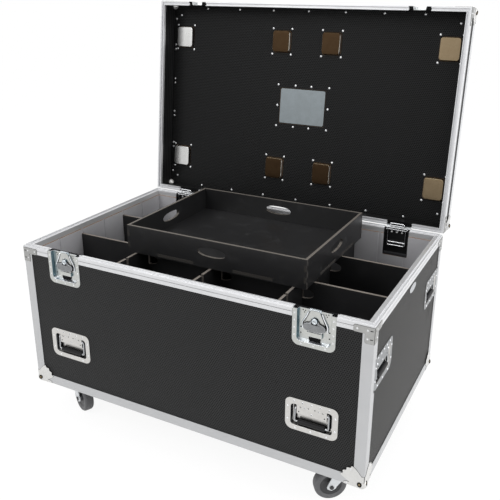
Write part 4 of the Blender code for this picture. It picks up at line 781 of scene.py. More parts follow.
def lid_rim():
    """The lid rim: an outer leg with a fine line, the groove that takes the tongue, and an inner leg."""
    foot = LID_FOOT
    end = GROOVE_IN + GROOVE_W
    high = foot + GROOVE_H + ALU
    section = eased([
        (0.0, foot), (GROOVE_IN, foot), (GROOVE_IN, foot + GROOVE_H), (end, foot + GROOVE_H), (end, foot),
        (LID_RIM_W, foot), (LID_RIM_W, foot + LID_RIM_INNER_LEG),
        (LID_RIM_W - ALU, foot + LID_RIM_INNER_LEG), (LID_RIM_W - ALU, high), (GROOVE_IN - ALU, high),
        (GROOVE_IN - ALU, foot + RIM_TOP), (ALU, foot + RIM_TOP), (ALU, foot + LID_RIM_LEG),
        (0.0, foot + LID_RIM_LEG), *((deep, foot + away) for deep, away in reversed(RIM_LINE)),
    ], 0.0007, 3, True)
    leg = eased([(CUT_IN, foot), (LID_RIM_W, foot), (LID_RIM_W, foot + LID_RIM_INNER_LEG),
                 (CUT_IN, foot + LID_RIM_INNER_LEG)], 0.0003, 2, True)
    rim("lid_rim_extrusion", "lid", [LID_ALLOY, LID_DARK], section, KEEPER_HALF, HINGE_HALF, leg, leg,
        "lid_rim")


def edge_angles(name, body, finish, section, leg, levels, node):
    """Angles round the case and up its four edges; levels are the height and one leg's width of their rings."""
    noses = [NOSE] + 5 * [SMALL]
    stations = [((sx * HALF_W, sy * HALF_D), (-sx, -sy)) for sx, sy in ((-1, -1), (1, -1), (1, 1), (-1, 1))]
    form = Form().add(swept(eased(section, noses, 3, True), stations, True))
    for sx, sy in QUARTERS:
        rings = []
        for z, other in levels:
            angle = [(0.0, 0.0), (leg, 0.0), (leg, ALU), (ALU, ALU), (ALU, other), (0.0, other)]
            a, b = eased(angle, noses, 3, True).T
            rings.append(spread(sx * (HALF_W - a), sy * (HALF_D - b), z))
        form.add(skin(rings))
    form.make(name, body, "extrusion", [finish], node)


def corner_places(level, out):
    """For each corner, places on its two upright faces and its outer face, with a and b from the corner.

    They are used before the next corner is asked for.
    """
    for sx, sy in QUARTERS:
        x, y = sx * HALF_W, sy * HALF_D
        yield sx, sy, {
            "x": lambda a, b, depth: spread(x - sx * depth, y - sy * a, level - out * b),
            "y": lambda a, b, depth: spread(x - sx * a, y - sy * depth, level - out * b),
            "z": lambda a, b, depth: spread(x - sx * a, y - sy * b, level - out * depth),
        }


def ear(size):
    """One ear of a ball corner, its reach set by the angle d in degrees from the level edge.

    The reach is size (0.78 + 0.22 rise(16, 24) - 0.48 rise(58, 80) - 0.20 exp(-((d - 14) / 4)^2) - scallops).
    The scallops are 0.03 (1 - cos(2 pi (d - 22) / 13)) on the large lobe, and rise(a, b) is a smooth step of
    d from a to b.
    """
    d = np.linspace(0, 90, 91)

    def rise(low, high):
        t = np.clip((d - low) / (high - low), 0, 1)
        return t * t * (3 - 2 * t)
    scallops = 0.03 * (1 - np.cos(math.tau * (d - 22) / 13)) * rise(20, 24) * (1 - rise(60, 64))
    notch = 0.20 * np.exp(-((d - 14) / 4) ** 2)
    reach = size * (0.78 + 0.22 * rise(16, 24) - 0.48 * rise(58, 80) - notch - scallops)
    lobes = spread(reach * np.cos(np.radians(d)), reach * np.sin(np.radians(d)))
    start = 0.0004
    return np.concatenate([[(start, EAR_START), (EAR_START, start)], lobes[1:-1]])


def dimpled_ball(middle, ways):
    """A ball whose radius drops by a smooth step inside two round sockets."""
    t = np.linspace(0.04, math.pi - 0.04, 40)[:, None]
    s = np.arange(64) * math.tau / 64
    normal = spread(np.sin(t) * np.cos(s), np.sin(t) * np.sin(s), np.cos(t) + 0 * s)
    radius = np.full(normal.shape[:2], BALL_R)
    rim_at = math.cos(SOCKET_SPREAD)
    for way in ways:
        near = np.clip((np.sum(normal * way, -1) - rim_at) / (1 - rim_at) * 3, 0, 1)
        radius -= SOCKET_SINK * near * near * (3 - 2 * near)
    return skin(middle + radius[..., None] * normal)


def ball_corners(name, body, level, out, size, steel, dark, rivet, node):
    """Ball corners: a ball with two sockets, their floors in painted shade and brown bolts, and three riveted
    ears with thin outlines of painted shadow.
    """
    form = Form()
    for sx, sy, places in corner_places(level, out):
        middle = np.array([sx * (HALF_W - BALL_IN), sy * (HALF_D - BALL_IN), level - out * BALL_SINK])
        ways = np.array([(-sx * 0.16, sy * 0.96, -out * 0.22), (sx * 0.96, -sy * 0.16, -out * 0.22)])
        ways /= np.linalg.norm(ways, axis=1, keepdims=True)
        form.add(dimpled_ball(middle, ways))
        for way in ways:
            # the socket floors are dark plates of painted shade in the sockets
            form.add(lathe(SOCKET_FLOOR, 24, aimed(middle, way)), 1)
            form.add(lathe(SOCKET_BOLT, 24, aimed(middle, way)), 3)
        for face, place in places.items():
            reach = size if face in "xy" else FLAT_EAR_REACH
            raised, outline = flipped(place), ear(reach)
            form.slab(raised, EAR_LOW, EAR_T, outline, edge=0.0005)
            # a thin dark outline round each ear: painted shadow
            form.slab(raised, EAR_LOW, EAR_LOW + 0.0002, grown(outline, 0.0005), edge=LINE_EDGE, kind=1)
            form.rivets(place, [(0.66 * reach, 0.0060), (0.52 * reach, 0.70 * reach)], -EAR_T, kind=2)
    form.make(name, body, "extrusion", [steel, dark, rivet, BOLT_BROWN], node)


def braces(name, body, level, out, drop, steel, dark, rivet, node):
    """L-shaped braces on the upright faces, each with three rivets, two slots and a thin outline of painted
    shadow.
    """
    form = Form()
    outline = eased([(BRACE_START, 0.0), (BRACE_ARM, 0.0), (BRACE_ARM, BRACE_BAND), (BRACE_POST, BRACE_BAND),
                     (BRACE_POST, drop), (BRACE_START, drop)],
                    [SMALL, 0.004, 0.004, 0.002, 0.004, SMALL], 4, True)
    low_row = (BRACE_BAND + drop) / 2 + 0.001
    slots = [rounded((0.0080, b), (0.0042, 0.0013), 0.0012) for b in (0.0100, low_row)]
    spots = [(0.0480, 0.0100), (0.0190, 0.0100), (0.0190, low_row)]
    for _, _, places in corner_places(level, out):
        for face in "xy":
            place = places[face]
            form.slab(flipped(place), GAP, GAP + BRACE_T, outline, *slots, edge=0.0003)
            # a thin dark outline round each brace: painted shadow
            form.slab(flipped(place), 0.0001, GAP, grown(outline, 0.0007), edge=LINE_EDGE, kind=1)
            form.rivets(place, spots, -GAP - BRACE_T, height=0.0010, kind=2)
    form.make(name, body, "extrusion", [steel, dark, rivet], node)


def frames():
    """The edge angles of the base and the lid with their ball corners and braces."""
    leg = BOTTOM_LEG
    section = [(0.0, -FOOT), (leg, -FOOT), (leg, -GAP), (ALU, -GAP), (ALU, leg), (0.0, leg)]
    foot, head, narrow = POST_NOTCH
    levels = [(leg - ALU, ANGLE_LEG), (foot, ANGLE_LEG), (foot, narrow), (head, narrow), (head, ANGLE_LEG),
              (BASE_H - RIM_OUTER_LEG - GAP, ANGLE_LEG)]
    edge_angles("base_edge_angles", "case_base", UPRIGHT_ALLOY, section, ANGLE_LEG, levels, "base_frame")
    ball_corners("base_ball_corners", "case_base", -FOOT, -1, EAR_REACH, CORNER_STEEL, DARK, RIVET_STEEL,
                 "base_frame")
    braces("base_corner_braces", "case_base", BASE_H - BRACE_BELOW, 1, BRACE_DROP, BRACE_STEEL, DARK,
           RIVET_STEEL, "base_frame")
    top, leg = LID_TOP, LID_ANGLE_LEG
    section = [(0.0, top), (LID_TOP_LEG, top), (LID_TOP_LEG, top - ALU), (ALU, top - ALU), (ALU, top - leg),
               (0.0, top - leg)]
    levels = [(LID_FOOT + LID_RIM_LEG + GAP, leg), (top - leg + ALU, leg)]
    edge_angles("lid_edge_angles", "lid", LID_ALLOY, section, leg, levels, "lid_frame")
    ball_corners("lid_ball_corners", "lid", top, 1, LID_EAR_REACH, LID_CORNER_STEEL, LID_DARK, LID_RIVET_STEEL,
                 "lid_frame")
    braces("lid_corner_braces", "lid", LID_FOOT + BRACE_BELOW, -1, LID_BRACE_DROP, LID_BRACE_STEEL, LID_DARK,
           LID_RIVET_STEEL, "lid_frame")


# Handles

def handle_dish():
    """A handle's dish with the plate over its springs, its rivets and dark plates of painted shade in its
    recesses.
    """
    sunk = -0.0015
    form = Form().add(pressed([
        (0.0400, 0.0150, 0.004, 0.004, sunk, DISH_DEPTH), (0.0610, 0.0320, 0.008, 0.008, sunk, DISH_DEPTH),
        (0.0640, 0.0350, 0.010, 0.010, sunk, FLANGE_IN), (0.0810, 0.0525, 0.022, 0.018, 0.0, FLANGE_IN),
        (0.0810, 0.0525, 0.022, 0.018, 0.0, FLANGE_BACK), (0.0652, 0.0362, 0.011, 0.011, sunk, FLANGE_BACK),
        (0.0622, 0.0332, 0.009, 0.009, sunk, DISH_BACK), (0.0400, 0.0150, 0.004, 0.004, sunk, DISH_BACK),
    ], plain, 0.0011))
    cover = rounded((0.0, 0.0175), (0.0465, 0.0158), (0.0030, 0.0020), 4)
    holes = [rounded((a, 0.0265), (0.0026, 0.0026), 0.0025, 4) for a in (-0.034, 0.034)]
    form.slab(plain, 0.0030, 0.0050, cover, *holes, edge=0.0009)
    form.slab(plain, 0.0006, 0.0045, rounded((0.0, 0.0325), (0.0465, 0.0012), 0.0004, 2))
    form.slab(plain, 0.0048, 0.0120, rounded((0.0, 0.0180), (0.0440, 0.0140), 0.002, 3))
    form.rivets(plain, [(a, 0.0440) for a in (-0.054, -0.027, 0.0, 0.027, 0.054)], kind=1, eye=2)
    form.rivets(plain, [(a, -0.0455) for a in (-0.048, 0.0, 0.048)], kind=1)
    form.rivets(plain, [(side * 0.0730, b) for side in (-1, 1) for b in (-0.020, 0.022)], kind=1)
    form.rivets(plain, [(-0.022, 0.0275), (0.0, 0.0110), (0.022, 0.0275)], 0.0030, 0.0026, 0.0012, 1, 2)
    form.rivets(plain, [(-0.010, 0.0290), (0.010, 0.0290), (-0.0395, 0.0105), (0.0395, 0.0105)],
                0.0030, 0.0020, 0.0009, 2)
    # dark plates behind the bail's arms, under the grip and under the plate: painted shade
    for low, high, middle, half, radius, steps in (
        (0.0116, 0.0124, (-0.0530, 0.0040), (0.0052, 0.0270), 0.003, 3),
        (0.0116, 0.0124, (0.0530, 0.0040), (0.0052, 0.0270), 0.003, 3),
        (0.0112, 0.0122, (0.0, -0.0250), (0.0560, 0.0068), 0.003, 3),
        (0.0052, 0.0060, (0.0, 0.0175), (0.0477, 0.0170), 0.0030, 4),
    ):
        form.slab(plain, low, high, rounded(middle, half, radius, steps), edge=DARK_EDGE, kind=2)
    return form


def coils(form, kind):
    """The ends of the torsion springs: a helix of three turns round the pivot on each side."""
    t = np.linspace(0, 3 * math.tau, 55)
    for side in (-1, 1):
        path = spread(side * (0.0478 + 0.0030 * t / t[-1]), PIVOT_IN + 0.0046 * np.cos(t),
                      PIVOT_UP + 0.0046 * np.sin(t))
        form.add(tube(path, 0.0008, (side * 1.0, 0.0, 0.0), 8), kind)


def bail():
    """The bail: a wire from pivot to pivot round two lower corners."""
    half = np.array([
        (-0.0468, PIVOT_IN, PIVOT_UP), (-0.0505, PIVOT_IN, PIVOT_UP),
        (-BAIL_HALF, PIVOT_IN, PIVOT_UP - 0.0040), (-BAIL_HALF, 0.0050, PIVOT_UP - 0.0300),
        (-BAIL_HALF, 0.0045, PIVOT_UP - BAIL_DROP), (-0.0400, 0.0045, PIVOT_UP - BAIL_DROP),
    ])
    return tube(eased(np.concatenate([half, half[::-1] * (-1, 1, 1)]), 0.0055, 5), 0.0030, sides=14)


def grip():
    """The moulded grip: an oval of radius 7.5 mm with ten shallow flutes and rounded ends."""
    share = np.array([0.55, 0.80, 0.94, 1.0, 1.0, 1.0, 0.94, 0.80, 0.55])[:, None]
    along = np.array([-0.0425, -0.0423, -0.0416, -0.0400, 0.0, 0.0400, 0.0416, 0.0423, 0.0425])[:, None]
    t = np.arange(60) * math.tau / 60
    radius = share * 0.0075 * (1 - 0.035 * (0.5 + 0.5 * np.cos(10 * t)))
    return skin(spread(along + 0 * t, 0.0045 + 0.92 * radius * np.cos(t),
                       PIVOT_UP - BAIL_DROP + radius * np.sin(t)))


def handles():
    """Each handle in its own frame, then turned to face out of the case."""
    for name, point, turn in HANDLES:
        form = handle_dish()
        coils(form, 1)
        form.make("handle_plate_" + name, "case_base", "zinc", [HANDLE_ZINC, CHROME, DARK],
                  "handle_dish_" + name, matrix=at(point, turn))
        Form().add(bail()).add(grip(), 1).make(
            "handle_grip_" + name, "handle_" + name, "rubber_black", [BAIL_STEEL, GRIP_RUBBER],
            "handle_bail_" + name, matrix=at(point, turn))


# Latches and keepers

def latch_dish(name, centre):
    """A latch's dish with the foot of its track as a dark plate of painted shade, a bracket round the boss with
    a thin line of painted shadow, clip springs and rivets.
    """
    place = shifted(front, centre)
    form = Form().add(open_pressed([
        (0.0380, 0.0840, 0.004, DISH_DEPTH), (0.0470, 0.0930, 0.010, DISH_DEPTH),
        (0.0500, 0.0960, 0.012, FLANGE_IN), (0.0640, 0.1100, 0.020, FLANGE_IN),
        (0.0640, 0.1100, 0.020, FLANGE_BACK), (0.0512, 0.0972, 0.0132, FLANGE_BACK),
        (0.0482, 0.0942, 0.0112, DISH_BACK), (0.0380, 0.0840, 0.005, DISH_BACK),
    ], BASE_H, place, 0.0011))
    track_foot = rounded((0.0, 0.4285), (0.0165, 0.0065), 0.0012, 3)
    # the track foot is a dark plate: painted shade in the slot under the wing
    form.slab(place, 0.0085, 0.0124, track_foot, edge=DARK_EDGE, kind=1)
    form.slab(place, 0.0058, 0.0124, rounded((0.0, 0.4415), (0.0225, 0.0065), 0.0010, 3), edge=SMALL)
    half = [(0.0128, 0.5130), (0.0300, 0.4740), (0.0300, 0.4590), (0.0220, 0.4520), (0.0220, 0.4485)]
    bracket = eased(np.concatenate([half[::-1], np.array(half) * (-1, 1)]), 0.002, 2, True)
    spindle = rounded((0.0, BOSS_Z), (0.0112, 0.0112), 0.0111, 6)
    form.slab(place, 0.0088, 0.0099, bracket, spindle, edge=0.0003)
    # a thin dark outline round the bracket: painted shadow
    form.slab(place, 0.0099, 0.01005, grown(bracket, 0.0012), spindle, edge=0.00002, kind=1)
    for side in (-1, 1):
        form.rivets(place, [(side * 0.0570, b) for b in (0.500, 0.478, 0.456, 0.434)], kind=2)
        # these rivets take the dark finish: dark dots of painted shade in the dish
        form.rivets(place, [(side * 0.0420, b) for b in (0.456, 0.438)], DISH_DEPTH, 0.0022, 0.0006, 1)
        form.rivets(place, [(side * a, b) for a, b in ((0.0300, 0.5075), (0.0370, 0.5085), (0.0330, 0.5020))],
                    DISH_DEPTH, 0.0018, 0.0006, 1)
        form.add(clip_spring(place, side), 3)
    form.rivets(place, [(a, 0.4110) for a in (-0.036, 0.0, 0.036)], kind=2)
    form.make("latch_plate_" + name, "case_base", "zinc", [DISH_ZINC, DARK, RIVET_STEEL, CHROME],
              "latch_dish_" + name)


def clip_spring(place, side):
    """A bent spring wire beside the bracket, from the top of the dish down its sloping edge."""
    path = eased([(side * a, b) for a, b in ((0.0205, 0.5080), (0.0235, 0.4980), (0.0372, 0.4720),
                                             (0.0360, 0.4560))], 0.006, 4)
    return tube(place(*path.T, 0.0096), 0.0022, sides=10)


def latch_hook(name, centre):
    """The sliding hook with its spindle slot, its window, its lip and two pressed ribs."""
    place = shifted(front, centre)
    top, foot = BASE_H + HOOK_RISE, BOSS_Z - 0.0425
    outline = eased([(-0.0170, foot), (0.0170, foot), (0.0170, top), (-0.0170, top)], 0.0015, 3, True)
    slot = rounded((0.0, BOSS_Z - 0.0060), (0.0040, 0.0100), 0.0038, 4)
    window = rounded((0.0, BASE_H - 0.0110), (0.0060, 0.0045), 0.0008, 3)
    form = Form().slab(place, HOOK_IN, HOOK_IN + HOOK_T, outline, slot, window)
    low, high = top - 0.0032, top - 0.0004
    lip = eased([(HOOK_IN - 0.0040, low), (HOOK_IN - 0.0040, high), (HOOK_IN + 0.001, high),
                 (HOOK_IN + 0.001, low)], 0.0009, 3, True)
    depth, height = lip.T
    form.add(skin([place(a, height, depth) for a in (-0.0120, -0.0116, 0.0116, 0.0120)]))
    for side in (-1, 1):
        rib = rounded((side * 0.0135, BASE_H - 0.0005), (0.0010, 0.0035), 0.0009, 4)
        form.slab(place, HOOK_IN - 0.0007, HOOK_IN + 0.0005, rib)
    form.make("latch_slide_" + name, "latch_hook_" + name, "zinc", [BRIGHT_ZINC], "latch_hook_" + name)


def latch_boss(name, centre):
    """The round boss on its spindle, with a dished and slotted top, its slot a dark plate of painted shade, and
    a dark ring of painted shadow under its head.
    """
    place = shifted(front, centre, BOSS_Z)
    form = Form().turned(place, [
        (0.0004, 0.0124), (0.0035, 0.0124), (0.0035, 0.0099), (0.0085, 0.0099), (0.0085, 0.0040),
        (0.0078, 0.0029), (0.0058, 0.0029), (0.0052, 0.0036), (0.0004, 0.0036),
    ], 40, 0.0005, 3)
    # the slot: a dark plate of painted shade
    form.slab(place, 0.0033, 0.0038, rounded((0.0, 0.0), (0.0044, 0.0007), 0.0005, 2), edge=0.0001, kind=1)
    # the dark ring under the head: painted shadow
    ring = [(0.0060, 0.0072), (0.0093, 0.0072), (0.0098, 0.0082), (0.0060, 0.0082)]
    form.turned(place, ring, 40, SLIGHT, 2, 1)
    form.make("latch_turn_" + name, "latch_boss_" + name, "chrome", [BRIGHT_ZINC, DARK], "latch_boss_" + name)


def latch_wing(name, centre):
    """The butterfly wing: a batwing plate with a rim painted lighter as a highlight and a dark outline of
    painted shadow, bowed outward by 1.6 a^2 + 9 (b + 0.02)^2 at its foot.
    """
    half = eased([(0.0094, 0.0015), (0.0112, 0.0005), (0.0150, -0.0065), (0.0262, -0.0080), (0.0330, -0.0140),
                  (0.0322, -0.0222), (0.0262, -0.0292), (0.0158, -0.0300), (0.0080, -0.0330)], 0.005, 4)
    outline = np.concatenate([[(-0.0094, -0.0105), (0.0094, -0.0105)], half, half[::-1] * (-1, 1)])

    def place(a, b, h):
        bow = 1.6 * a * a + 9.0 * np.clip(-0.020 - b, 0, None) ** 2
        return front(centre + a, BOSS_Z + b, WING_IN + h - bow)
    form = Form().slab(place, 0.0, 0.0018, outline)
    # the rim in the lighter copy of the wing's steel: painted highlight
    form.slab(place, -0.0003, 0.0034, outline, grown(outline, -0.0017), edge=0.0005, kind=1)
    # a dark plate a little larger than the wing behind it: painted shadow
    form.slab(place, 0.0030, 0.0038, grown(outline, 0.0010), edge=0.0001, kind=2)
    for side in (-1, 1):
        form.slab(place, -0.0004, 0.0010, rounded((side * 0.0190, -0.0165), (0.0060, 0.0070), 0.0045, 5),
                  edge=0.0007)
    form.make("latch_butterfly_" + name, "latch_wing_" + name, "zinc", [WING_ZINC, WING_EDGE, DARK],
              "latch_wing_" + name)


def keeper(name, centre):
    """The dish on the lid that the hook reaches into."""
    def place(a, b, depth):
        return front(centre + a, LID_FOOT - b, depth)
    form = Form().add(open_pressed([
        (0.0160, 0.0280, 0.003, DISH_DEPTH), (0.0195, 0.0335, 0.005, DISH_DEPTH),
        (0.0220, 0.0360, 0.006, FLANGE_IN), (0.0380, 0.0500, 0.010, FLANGE_IN),
        (0.0380, 0.0500, 0.010, FLANGE_BACK), (0.0232, 0.0372, 0.007, FLANGE_BACK),
        (0.0205, 0.0345, 0.006, DISH_BACK), (0.0160, 0.0280, 0.003, DISH_BACK),
    ], 0.0, place, 0.0010))
    form.rivets(place, [(side * 0.0300, b) for side in (-1, 1) for b in (-0.008, -0.026)], kind=1)
    form.rivets(place, [(a, -0.0430) for a in (-0.024, 0.0, 0.024)], kind=1)
    form.make("latch_catch_" + name, "lid", "zinc", [LID_ZINC, LID_RIVET_STEEL], "latch_keeper_" + name)


def latches():
    """Both latches, left and right, with their keepers on the lid."""
    for name, side in SIDES:
        for fitting in (latch_dish, latch_hook, latch_boss, latch_wing, keeper):
            fitting(name, side * LATCH_X)


# Hinges and lid stays

def stadium(place, half, level, radius, wire, depth):
    """A closed wire loop: two half circles joined by straight bars."""
    t = np.linspace(-math.pi / 2, math.pi / 2, 15)
    end = spread(half - radius + radius * np.cos(t), level + radius * np.sin(t))
    loop = np.concatenate([end, end * (-1, -1) + (0, 2 * level)])
    return tube(place(*loop.T, depth), wire, wrap=True)


def hinge_dish(name, centre):
    """The black dish behind a hinge, with the chrome loops of the lid stay, its clips and its rivets in a pale
    copy of rivet steel, a painted highlight.
    """
    place = shifted(rear, centre)
    high = 0.0485
    level = BASE_H - 0.003 - high
    form = Form().add(pressed([
        (0.0300, 0.0300, 0.002, 0.0154), (0.0438, 0.0473, 0.0028, 0.0154), (0.0438, 0.0473, 0.0028, 0.0255),
        (0.0450, high, 0.004, 0.0255), (0.0450, high, 0.004, 0.0142), (0.0300, 0.0300, 0.002, 0.0142),
    ], shifted(rear, centre, level), SLIGHT))
    for half, rise, radius, wire, depth in (
        (0.0260, 0.0165, 0.0042, 0.0022, 0.0205), (0.0385, 0.0015, 0.0034, 0.0017, 0.0215),
        (0.0325, -0.0555, 0.0062, 0.0025, 0.0215),
    ):
        form.add(stadium(place, half, BASE_H + rise, radius, wire, depth), 1)
    for side in (-1, 1):
        for a, low, high_end, steps, wire, depth in (
            (0.0322, 0.0, -0.0555, 6, 0.0014, 0.0215), (0.0180, 0.0030, 0.0140, 4, 0.0012, 0.0210),
        ):
            link = spread(side * a, BASE_H + np.linspace(low, high_end, steps))
            form.add(tube(place(*link.T, depth), wire, sides=10), 1)
        form.slab(place, 0.0156, 0.0240, rounded((side * 0.0415, BASE_H - 0.0120), (0.0026, 0.0075), 0.001, 3))
    # rivets in the pale copy of rivet steel: painted highlight
    form.rivets(flipped(place), [(a, BASE_H - 0.0125) for a in (-0.019, 0.0, 0.019)], -0.0154, 0.0040, kind=2)
    form.slab(place, 0.0156, 0.0252, rounded((0.0, level - high + 0.0058), (0.0430, 0.0040), 0.001, 3),
              edge=SMALL, kind=3)
    form.make("hinge_box_" + name, "case_base", "steel_black", [STEEL_BLACK, CHROME, HIGHLIT_RIVET, HUB_PLASTIC],
              "hinge_dish_" + name)


def hinges():
    """Both hinge dishes, and the rivets of the hinges' leaves: eight below the joint and eight above it."""
    for name, side in SIDES:
        centre = side * HINGE_X
        hinge_dish(name, centre)
        spots = [(centre + a, b) for a in (-0.034, -0.012, 0.012, 0.034) for b in (0.0150, 0.0360)]
        for part, body, way, steel in (
            ("low_", "case_base", -1, RIVET_STEEL), ("lid_", "lid", 1, LID_RIVET_STEEL),
        ):
            Form().rivets(rear, [(a, AXIS_Z + way * b) for a, b in spots], 0.0001).make(
                "hinge_rivets_" + part + name, body, "zinc", [steel])


# Lid

def cup_middles():
    return [(side * x, s) for s in CUP_S for x in CUP_X for side in (-1, 1)]


def lid_panel():
    """The lid's board with its openings."""
    half = (HALF_W - PANEL_IN, HALF_D - PANEL_IN)
    board = rounded((0.0, HALF_D), half, 0.001, 2)
    holes = [rounded(middle, (0.0382, 0.0412), 0.012) for middle in cup_middles()]
    holes.append(rounded((0.0, LABEL_S), (0.0953, 0.0688), 0.006, 4))
    Form().add(plate([board, *holes], lid_top, PANEL_IN, LID_PANEL_BACK)).make(
        "lid_board", "lid", "panel", [FILM_LID, PLY_LID], "lid_top_panel")


def lid_cups():
    """Eight wheel cups pressed from outside: their crowned backs and rivets show inside the lid."""
    back = LID_PANEL_BACK + CUP_DEEP
    under = PANEL_IN - 0.0002
    rows = [
        (0.0200, 0.0230, 0.006, back - SHEET), (0.0340, 0.0372, 0.009, back - SHEET),
        (0.0366, 0.0398, 0.011, FLANGE_IN), (0.0500, 0.0530, 0.012, FLANGE_IN),
        (0.0500, 0.0530, 0.012, under), (0.0380, 0.0412, 0.012, under),
        (0.0354, 0.0386, 0.010, back), (0.0200, 0.0230, 0.007, back),
    ]
    spots = [(sa * 0.0395, sb * 0.0475) for sa, sb in QUARTERS]
    for number, middle in enumerate(cup_middles()):
        place = shifted(lid_top, *middle)
        # each cup takes a copy by where it sits: painted reflection
        reflecting_finish = CUP_SILVER_REFLECTION if middle[0] < -0.2 else CUP_TAN_REFLECTION if middle[0] > 0.2 else CUP_BROWN_REFLECTION
        form = Form().add(pressed(rows, place, 0.0022))
        form.rivets(flipped(place), spots, -LID_PANEL_BACK, INNER_RIVET_R, kind=1).rivets(place, spots, kind=1)
        form.make(f"wheel_cup_{number + 1}", "lid", "panel", [reflecting_finish, LID_RIVET_STEEL], "lid_top_panel")


def lid_label():
    """The label dish in the middle of the lid and the rivets round it."""
    place = shifted(lid_top, 0.0, LABEL_S)
    back = LID_PANEL_BACK + LABEL_DEEP
    form = Form().add(pressed([
        (0.0500, 0.0300, 0.002, back - SHEET), (0.0918, 0.0653, 0.0045, back - SHEET),
        (0.0938, 0.0673, 0.005, FLANGE_IN), (0.1070, 0.0805, 0.006, FLANGE_IN),
        (0.1070, 0.0805, 0.006, FLANGE_BACK), (0.0950, 0.0685, 0.006, FLANGE_BACK),
        (0.0930, 0.0665, 0.006, back), (0.0500, 0.0300, 0.002, back),
    ], place))
    spots = [(a, b) for a in (-0.1063, -0.0330, 0.0330, 0.1063) for b in (-0.0797, 0.0797)]
    spots += [(-0.1063, 0.0), (0.1063, 0.0)]
    form.rivets(flipped(place), spots, -LID_PANEL_BACK, INNER_RIVET_R, kind=1)
    form.make("label_plate", "lid", "label_steel", [LABEL_STEEL, LID_RIVET_STEEL], "label_dish")


def lid_rivets():
    """The rivets along the lid's edges: heads inside the board and outside the angles."""
    edge, outer_edge = 0.0195, 0.0150
    wide, deep = HALF_W - edge, 2 * HALF_D - edge
    columns = [k * 0.1469 for k in range(-3, 4)]
    spots = [(a, s) for a in columns for s in (edge, deep)]
    spots += [(side * wide, s + apart) for side in (-1, 1) for s in (0.180, 0.313, 0.450, 0.589)
              for apart in (-0.0088, 0.0088)]
    spots += [(side * a, s) for side in (-1, 1)
              for a, s in ((0.565, 0.715), (0.565, 0.048), (0.590, 0.700), (0.590, 0.066))]
    form = Form().rivets(flipped(lid_top), spots, -LID_PANEL_BACK, INNER_RIVET_R)
    form.rivets(lid_top, [(a, s) for a in columns for s in (outer_edge, 2 * HALF_D - outer_edge)], 0.0)
    form.make("lid_edge_rivets", "lid", "zinc", [LID_RIVET_STEEL])


# Dividers, tray and badge

def planks():
    """Two long planks with finger holes and three cross planks, halved into one another."""
    middle = (PLANK_FOOT + PLANK_TOP) / 2

    def kerfs(places, open_end, blind_end):
        return toothed([(at - KERF_HALF, at + KERF_HALF) for at in places], open_end, blind_end)
    long_one = [(-PLANK_END_X, PLANK_TOP), (-PLANK_END_X, PLANK_FOOT), *kerfs(CROSS_X, PLANK_FOOT, middle),
                (PLANK_END_X, PLANK_FOOT), (PLANK_END_X, PLANK_TOP)]
    cross_one = [(PLANK_END_Y, PLANK_FOOT), (PLANK_END_Y, PLANK_TOP),
                 *kerfs(KERFS_Y, PLANK_TOP, middle - GAP)[::-1],
                 (-PLANK_END_Y, PLANK_TOP), (-PLANK_END_Y, PLANK_FOOT)]
    holes = [oval((x, PLANK_TOP - 0.0435), (0.043, 0.017)) for x in CROSS_X]
    for kind, loops, face, names, places in (
        ("long", [long_one, *holes], plain, ("front", "rear"), LONG_Y),
        ("cross", [cross_one], crosswise, ("left", "middle", "right"), CROSS_X),
    ):
        for name, where in zip(names, places):
            form = Form().add(plate(loops, shifted(face, 0.0, 0.0, where), -PLANK / 2, PLANK / 2, SMALL))
            form.make(f"plank_{kind}_{name}", "dividers", "divider", [FILM_PLANK, PLY_PLANK],
                      f"{kind}_divider_{name}")


def fingered(half, inward):
    """A tray wall's outline with five fingers at each end; inward is 1 where the outer fingers stay back."""
    reach = half - TRAY_PLY * ((np.arange(5) + inward) % 2)
    rises = np.repeat(np.arange(6), 2)[1:-1] * TRAY_H / 5
    end = spread(np.repeat(reach, 2), TRAY_FOOT + rises)
    return np.concatenate([end, end[::-1] * (-1, 1)])


def tray():
    """The tray: four finger-jointed walls with hand holes, and a floor with tabs through the walls."""
    form = Form()
    hand = oval((0.0, TRAY_FOOT + 0.0555), (0.052, 0.0155))
    half_ply = TRAY_PLY / 2
    for side in (-1, 1):
        wall_x = TRAY_X + side * (TRAY_HALF_X - half_ply)
        wall_y = TRAY_Y + side * (TRAY_HALF_Y - half_ply)
        for outline, tabs, place in (
            (fingered(TRAY_HALF_X, 0), TABS_X, shifted(plain, TRAY_X, 0.0, wall_y)),
            (fingered(TRAY_HALF_Y, 1), TABS_Y, shifted(crosswise, TRAY_Y, 0.0, wall_x)),
        ):
            slots = [rounded(((a + b) / 2, TRAY_FLOOR + half_ply), ((b - a) / 2, half_ply), 0.0003, 1)
                     for a, b in tabs]
            form.add(plate([outline, hand, *slots], place, -half_ply, half_ply, 0.0005))
    x, y = TRAY_HALF_X - TRAY_PLY, TRAY_HALF_Y - TRAY_PLY
    front_edge = toothed(TABS_X, -y, -TRAY_HALF_Y)
    right_edge = toothed(TABS_Y, x, TRAY_HALF_X)[:, ::-1]
    floor_board = np.concatenate([
        [(-x, -y)], front_edge, [(x, -y)], right_edge, [(x, y)], front_edge[::-1] * (1, -1),
        [(-x, y)], right_edge[::-1] * (-1, 1),
    ])
    form.add(plate([floor_board], shifted(upright, TRAY_X, TRAY_Y), TRAY_FLOOR, TRAY_FLOOR + TRAY_PLY, 0.0003))
    form.make("tray_box", "tray", "divider", [FILM_TRAY, PLY_TRAY], "tray")


